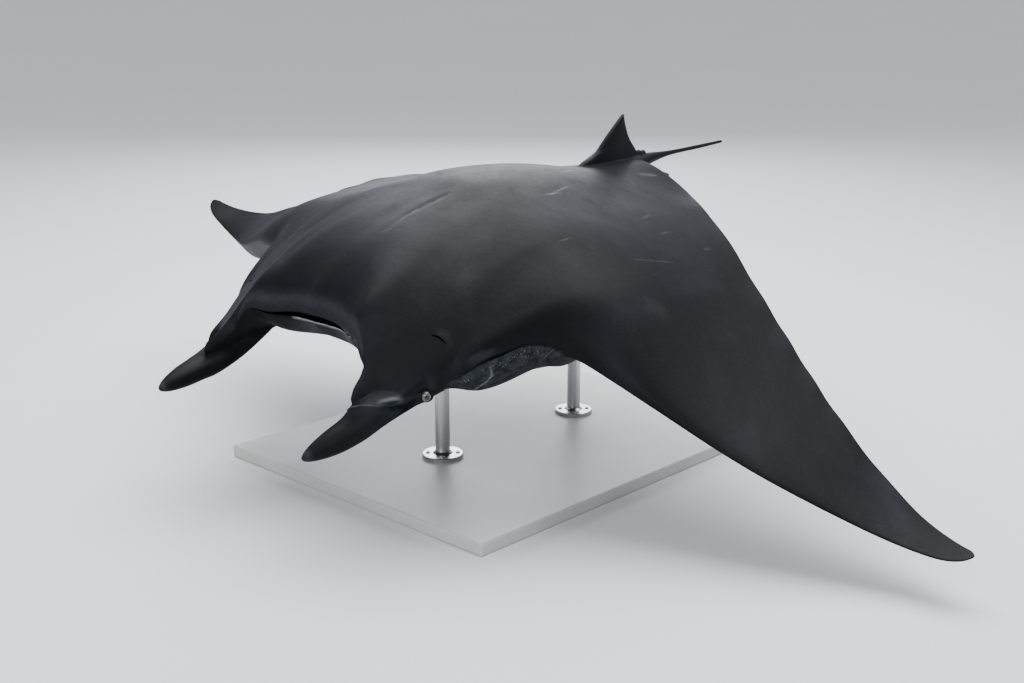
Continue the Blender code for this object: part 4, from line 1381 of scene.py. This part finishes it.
pairedHighlightsAndTips = (
    # the same on both sides: a painted highlight on the swelling above the eye, and a paler patch on the
    # horn's tip
    ((0.1270, 0.0145), (0.1290, 0.0165), 0.0022, 0.16),
    ((0.0880, -0.0825), (0.0950, -0.0818), 0.0028, 0.45),
)

seams = (
    # lines down the gill covers: from, to (out, up), half width, strength
    ((0.1502, 0.0020), (0.1503, -0.0030), 0.0003, 0.30),
    ((0.1503, -0.0030), (0.1499, -0.0080), 0.0004, 0.50),
    ((0.1499, -0.0080), (0.1473, -0.0134), 0.0004, 0.60),
    ((0.1473, -0.0134), (0.1423, -0.0188), 0.0005, 0.60),
    ((0.1725, 0.0080), (0.1705, 0.0040), 0.0003, 0.35),
    ((0.1705, 0.0040), (0.1680, -0.0020), 0.0003, 0.30),
)

clusters = (
    # where white grains gather on the covers
    ((0.1398, -0.0068), (0.1434, -0.0066), 0.0018, 1.5),
    ((0.1525, 0.0010), (0.1600, 0.0080), 0.0040, 0.8),
    ((0.1499, -0.0075), (0.1450, -0.0160), 0.0022, 0.8),
    ((0.1560, -0.0020), (0.1640, 0.0060), 0.0060, 0.4),
)

spiracleShades = (
    ((0.1141, 0.0340), (0.1178, 0.0362), 0.0006, 1.1),
    ((0.1178, 0.0362), (0.1232, 0.0372), 0.0006, 1.1),
)

hornShades = (
    # the shadow under the left horn's rim and behind its roll
    ((0.1165, -0.0262), (0.1215, -0.0200), 0.0011, 0.7),
    ((0.1215, -0.0200), (0.1255, -0.0100), 0.0010, 0.7),
    ((0.1255, -0.0100), (0.1264, 0.0010), 0.0009, 0.5),
)


patterns = {
    # scale, detail, roughness and distortion of a noise, then between what values it is taken
    "clouds": ((11.0, 4.0, 0.62, 0.5), (0.44, 0.74)),
    "fineClouds": ((55.0, 5.0, 0.66, 0.4), (0.50, 0.78)),
    "freckles": ((260.0, 3.0, 0.6), (0.56, 0.74)),
    "ragged": ((300.0, 4.0, 0.7), (0.34, 0.62)),
    "mottle": ((150.0, 6.0, 0.72), (0.34, 0.66)),
    "grainPatches": ((160.0, 2.0), (0.38, 0.54)),
    "scratches": ((1.0, 2.0, 0.5, 0.4), (0.715, 0.76)),
    "iris": ((400.0, 3.0), (0.3, 0.7)),
    "paintClouds": ((2.5, 4.0, 0.55), (0.3, 0.7)),
    "timber": ((1.0, 4.0, 0.6, 0.5), (0.55, 0.8)),
}

scratches = (
    # how the noise is stretched, and the scale of the patches where it shows
    ((9.0, 230.0, 9.0), 6.0),
    ((170.0, 16.0, 9.0), 5.0),
)


def pattern(place, name):
    noise, limits = patterns[name]
    return place.noise(*noise).between(*limits)


def summed(strokes, place):
    # the strokes' bells, each times its strength, added up
    total = None
    for start, end, halfWidth, strength in strokes:
        stroke = place.stroke(start, end, halfWidth) * strength
        total = stroke if total is None else total + stroke
    return total


def hideMaterial():
    # nearly black, painted by the place on the flat animal
    material, shader, start = newMaterial("hide", IOR=1.36, Specular_IOR_Level=0.32)
    flat = start.field("flatPlace", 1)
    under, shadeHighlightAndPale, covered = [start.field(name, 2) for name in ("underside", "shadeHighlightAndPale", "gillCover")]
    above = 1 - under
    across, back, up = flat.parts()
    plan, paired, sidePlan = across.plane(back), abs(across).plane(back), abs(across).plane(up)
    names = ("clouds", "fineClouds", "freckles", "ragged")
    clouds, fineClouds, freckles, ragged = [pattern(flat, name) for name in names]

    # cloudy lighter patches of three sizes
    amount = clouds * 0.50 + fineClouds * 0.26 + freckles * 0.12
    colour = mixed(amount, hide["black"], hide["cloud"])
    colour = mixed(under * (0.35 + 0.4 * fineClouds) * back.between(0.03, 0.12), colour, hide["belly"])

    # soft smudges; painted highlights above the eyes and on the left horn's roll and rim, with the paler horn
    # tips; then pale flecks with ragged rims
    soft = summed(smudges, plan) * (0.45 + 0.55 * fineClouds)
    colour = mixed((soft * above).clamped(), colour, hide["scratch"])
    highlightsAndPaleTips = (summed(pairedHighlightsAndTips, paired) + summed(hornHighlights, plan)) * (0.6 + 0.4 * fineClouds)
    colour = mixed((highlightsAndPaleTips * above).clamped(), colour, hide["soft"])
    flecks = summed(marks, plan) * (0.15 + 0.65 * ragged) * above
    colour = mixed(flecks.clamped(), colour, hide["pale"])

    # a few thin scratches behind the head: stretched noise, only its narrow peaks kept, in patches
    lines = [pattern(flat.stretched(scale), "scratches") * flat.noise(patch, 2.0).between(0.54, 0.64)
             for scale, patch in scratches]
    thin = (lines[0] + lines[1]) * back.between(0.02, 0.05)
    colour = mixed((thin * 0.45).clamped(), colour, hide["scratch"])

    # gill covers: grey, mottled, with white grains and pale seams
    covers = mixed(pattern(flat, "mottle"), hide["gillDark"], hide["gillGrey"])
    colour = mixed(covered * 0.92, colour, covers)
    grains = (1 - flat.cells(480.0).between(0.12, 0.28)) * pattern(flat, "grainPatches")
    grains = grains * summed(clusters, sidePlan)
    seamLines = summed(seams, sidePlan) * (0.3 + 0.7 * ragged)
    colour = mixed(((grains + seamLines) * covered * 0.9).clamped(), colour, hide["grain"])

    # pale on the lower lip's rim and the spiracles' bumps, and painted highlights on the upper lip's roll and
    # the raised fold
    colour = mixed(shadeHighlightAndPale.clamped() * (0.75 + 0.25 * ragged), colour, hide["paleRimAndHighlight"])

    start.feed(shader.inputs["Base Color"], colour)
    rough = 0.47 + 0.10 * flat.noise(38.0, 3.0) + 0.10 * fineClouds - 0.06 * freckles
    start.feed(shader.inputs["Roughness"], rough)
    pores = bump(flat.noise(750.0, 3.0, 0.6), 0.0012, 0.35)
    leather = bump(flat.noise(150.0, 4.0, 0.6, 0.8), 0.0030, 0.22, pores)
    start.feed(shader.inputs["Normal"], leather)

    # painted shade: the mouth and gill slits, the sunk fold, the covers' groove, the lids round the eyes, the
    # spiracles and the left horn's rim lie in shadow, a black without shine
    shades = (summed(spiracleShades, paired) + summed(hornShades, plan)) * above
    mixInShadow(material, shader, (shades - shadeHighlightAndPale * 1.5).clamped())
    return material


skin.data.materials.clear()
skin.data.materials.append(hideMaterial())


eyePaint = {
    "pupil": (0.003, 0.003, 0.004),
    "iris": (0.11, 0.122, 0.128),
    "white": (0.008, 0.009, 0.011),
    # angles from the way the eye faces, in radians
    "irisFrom": (0.34, 0.42),
    "irisTo": (0.80, 0.92),
    "whiteFrom": (0.85, 1.1),
}


def eyeMaterial():
    # black pupil, a thin pale iris, dark round it, under a clear coat
    gloss = {"Roughness": 0.12, "IOR": 1.38, "Coat_Weight": 1.0, "Coat_Roughness": 0.02}
    material, shader, start = newMaterial("eye", **gloss)
    look = start.field("look", 2)
    ring = look.between(*eyePaint["irisFrom"]) * (1 - look.between(*eyePaint["irisTo"]))
    streaks = pattern(start.objectPlace(), "iris")
    colour = mixed(look.between(*eyePaint["whiteFrom"]), eyePaint["pupil"], eyePaint["white"])
    colour = mixed(ring * (0.8 + 0.2 * streaks), colour, eyePaint["iris"])
    start.feed(shader.inputs["Base Color"], colour)
    return material


eyeLook = eyeMaterial()
for ball in eyes:
    ball.data.materials.append(eyeLook)


# stand finishes

finish = {
    "steel": ((0.46, 0.46, 0.47), (0.60, 0.60, 0.61)),
    "brushed": (40.0, 40.0, 900.0),             # how the noise is stretched: fine up the rods
    "paint": ((0.50, 0.50, 0.485), (0.56, 0.56, 0.545)),
    "timber": (0.44, 0.44, 0.43),
    "alongBoard": (60.0, 3.0, 60.0),
}


def steelMaterial():
    # satin metal, brushed round the rods
    material, shader, start = newMaterial("standSteel", Metallic=1.0)
    place = start.objectPlace()
    brushed = place.stretched(finish["brushed"]).noise(1.0, 4.0, 0.6)
    start.feed(shader.inputs["Base Color"], mixed(brushed, *finish["steel"]))
    start.feed(shader.inputs["Roughness"], 0.24 + 0.14 * brushed)
    start.feed(shader.inputs["Normal"], bump(brushed, 0.0002, 0.4))
    return material


def paintMaterial():
    # satin paint, faintly cloudy, with the timber's grain showing through
    material, shader, start = newMaterial("standPaint", Coat_Weight=0.15, Coat_Roughness=0.3)
    place = start.objectPlace()
    (cloudNoise, cloudLimits), (timberNoise, timberLimits) = patterns["paintClouds"], patterns["timber"]
    cloud = place.noise(*cloudNoise)
    grain = place.stretched(finish["alongBoard"]).noise(*timberNoise)
    colour = mixed(cloud.between(*cloudLimits), *finish["paint"])
    colour = mixed(grain.between(*timberLimits) * 0.25, colour, finish["timber"])
    start.feed(shader.inputs["Base Color"], colour)
    start.feed(shader.inputs["Roughness"], 0.42 + 0.12 * cloud)
    texture = bump(place.noise(420.0, 2.0), 0.0004, 0.4)
    start.feed(shader.inputs["Normal"], bump(grain, 0.0006, 0.35, texture))
    return material


steel = steelMaterial()
for piece in steelPieces:
    piece.data.materials.append(steel)
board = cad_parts["stand_base"]
board.data.materials.clear()
board.data.materials.append(paintMaterial())
print("materials made")


# room, light and camera

room = {
    "flatTo": 9.0,
    "radius": 60.0,
    "curve": 0.0070,
    "rings": 60,
    "corners": 128,
    "grey": (0.68, 0.69, 0.70),
    "lighter": 1.04,
    "sky": (0.85, 0.89, 0.95, 1.0),
    "skyStrength": 0.75,
}


def buildRoom():
    # a wide pale floor, flat in the middle, then rising slowly as a parabola, so that no horizon shows
    reach = (np.linspace(0.0, 1.0, room["rings"])[1:, None]) ** 1.5 * room["radius"]
    height = room["curve"] * np.maximum(reach - room["flatTo"], 0.0) ** 2
    turn = circle(room["corners"])[None, :]
    rings = np.stack([reach * np.cos(turn), reach * np.sin(turn), height + 0 * turn], axis=-1)
    count, size = rings.shape[:2]
    ids = np.arange(count * size).reshape(count, size)
    after = np.roll(ids, -1, axis=1)
    quads = np.stack([ids[:-1], ids[1:], after[1:], after[:-1]], axis=-1).reshape(-1, 4).tolist()
    fan = np.stack([np.full(size, count * size), ids[0], after[0]], axis=-1).tolist()
    mesh = bpy.data.meshes.new("floor")
    mesh.from_pydata(np.concatenate([rings.reshape(-1, 3), [[0.0, 0.0, 0.0]]]).tolist(), [], quads + fan)
    mesh.shade_smooth()
    floor = newObject("floor", mesh)
    material, shader, start = newMaterial("floorPaint", Roughness=0.8, Specular_IOR_Level=0.2)
    place = start.objectPlace()
    light = tuple(room["lighter"] * c for c in room["grey"])
    start.feed(shader.inputs["Base Color"], mixed(place.noise(0.8, 3.0), room["grey"], light))
    mesh.materials.append(material)


buildRoom()

lights = (
    # name, place, watts, width, depth, colour
    ("overhead", (-0.5, 1.5, 8.0), 900.0, 10.0, 7.0, (1.0, 0.99, 0.97)),
    ("front", (3.5, -8.5, 5.0), 300.0, 6.0, 4.0, (1.0, 1.0, 1.0)),
    ("back", (-7.5, 7.5, 5.5), 420.0, 6.0, 4.0, (0.92, 0.96, 1.0)),
)
aim = Vector((0.0, 0.0, 0.7))
for name, place, watts, width, depth, colour in lights:
    lamp = bpy.data.lights.new(name, "AREA")
    lamp.shape = "RECTANGLE"
    lamp.size, lamp.size_y = width, depth
    lamp.energy = watts
    lamp.color = colour
    thing = newObject(name, lamp)
    thing.location = place
    thing.rotation_euler = (aim - Vector(place)).to_track_quat("-Z", "Y").to_euler()
    thing.visible_camera = False

world = bpy.data.worlds.new("studio")
world.use_nodes = True
background = world.node_tree.nodes["Background"]
background.inputs["Color"].default_value = room["sky"]
background.inputs["Strength"].default_value = room["skyStrength"]
bpy.context.scene.world = world
bpy.context.scene.view_settings.look = "AgX - Medium High Contrast"

# the camera is given about the flat animal: turned round it, raised above it and rolled
camera = {
    "yaw": math.radians(46.8007),
    "pitch": math.radians(23.8973),
    "roll": math.radians(-9.7361),
    "distance": 1.1278,
    "aside": -0.0289,
    "above": 0.0699,
    "aimBack": 0.2,
    "focal": 1.226387,          # focal length as a share of the sensor's width
    "sensor": 36.0,
}


def buildCamera():
    # away from the animal's middle along the view, then sideways and up by the offsets, in the flat frame
    yaw, pitch, roll = camera["yaw"], camera["pitch"], camera["roll"]
    away = np.array([math.sin(yaw) * math.cos(pitch), -math.cos(yaw) * math.cos(pitch), math.sin(pitch)])
    level = np.array([math.cos(yaw), math.sin(yaw), 0.0])
    upright = np.cross(away, level)
    right = level * math.cos(roll) + upright * math.sin(roll)
    above = -level * math.sin(roll) + upright * math.cos(roll)
    spot = np.array([0.0, camera["aimBack"], 0.0]) - camera["aside"] * right - camera["above"] * above
    spot = spot + camera["distance"] * away
    tilt = np.array(Matrix.Rotation(pose["noseDown"], 3, "X"))
    axes = tilt @ np.stack([right, above, away], axis=-1)
    lens = bpy.data.cameras.new("camera")
    lens.sensor_width = camera["sensor"]
    lens.lens = camera["focal"] * camera["sensor"]
    lens.clip_end = 200.0
    thing = newObject("camera", lens)
    matrix = Matrix(axes.tolist()).to_4x4()
    matrix.translation = Vector(tipNoseDown(spot[None])[0] + mouthPlace)
    thing.matrix_world = matrix
    bpy.context.scene.camera = thing
    print("camera height", round(thing.location.z, 3))


buildCamera()
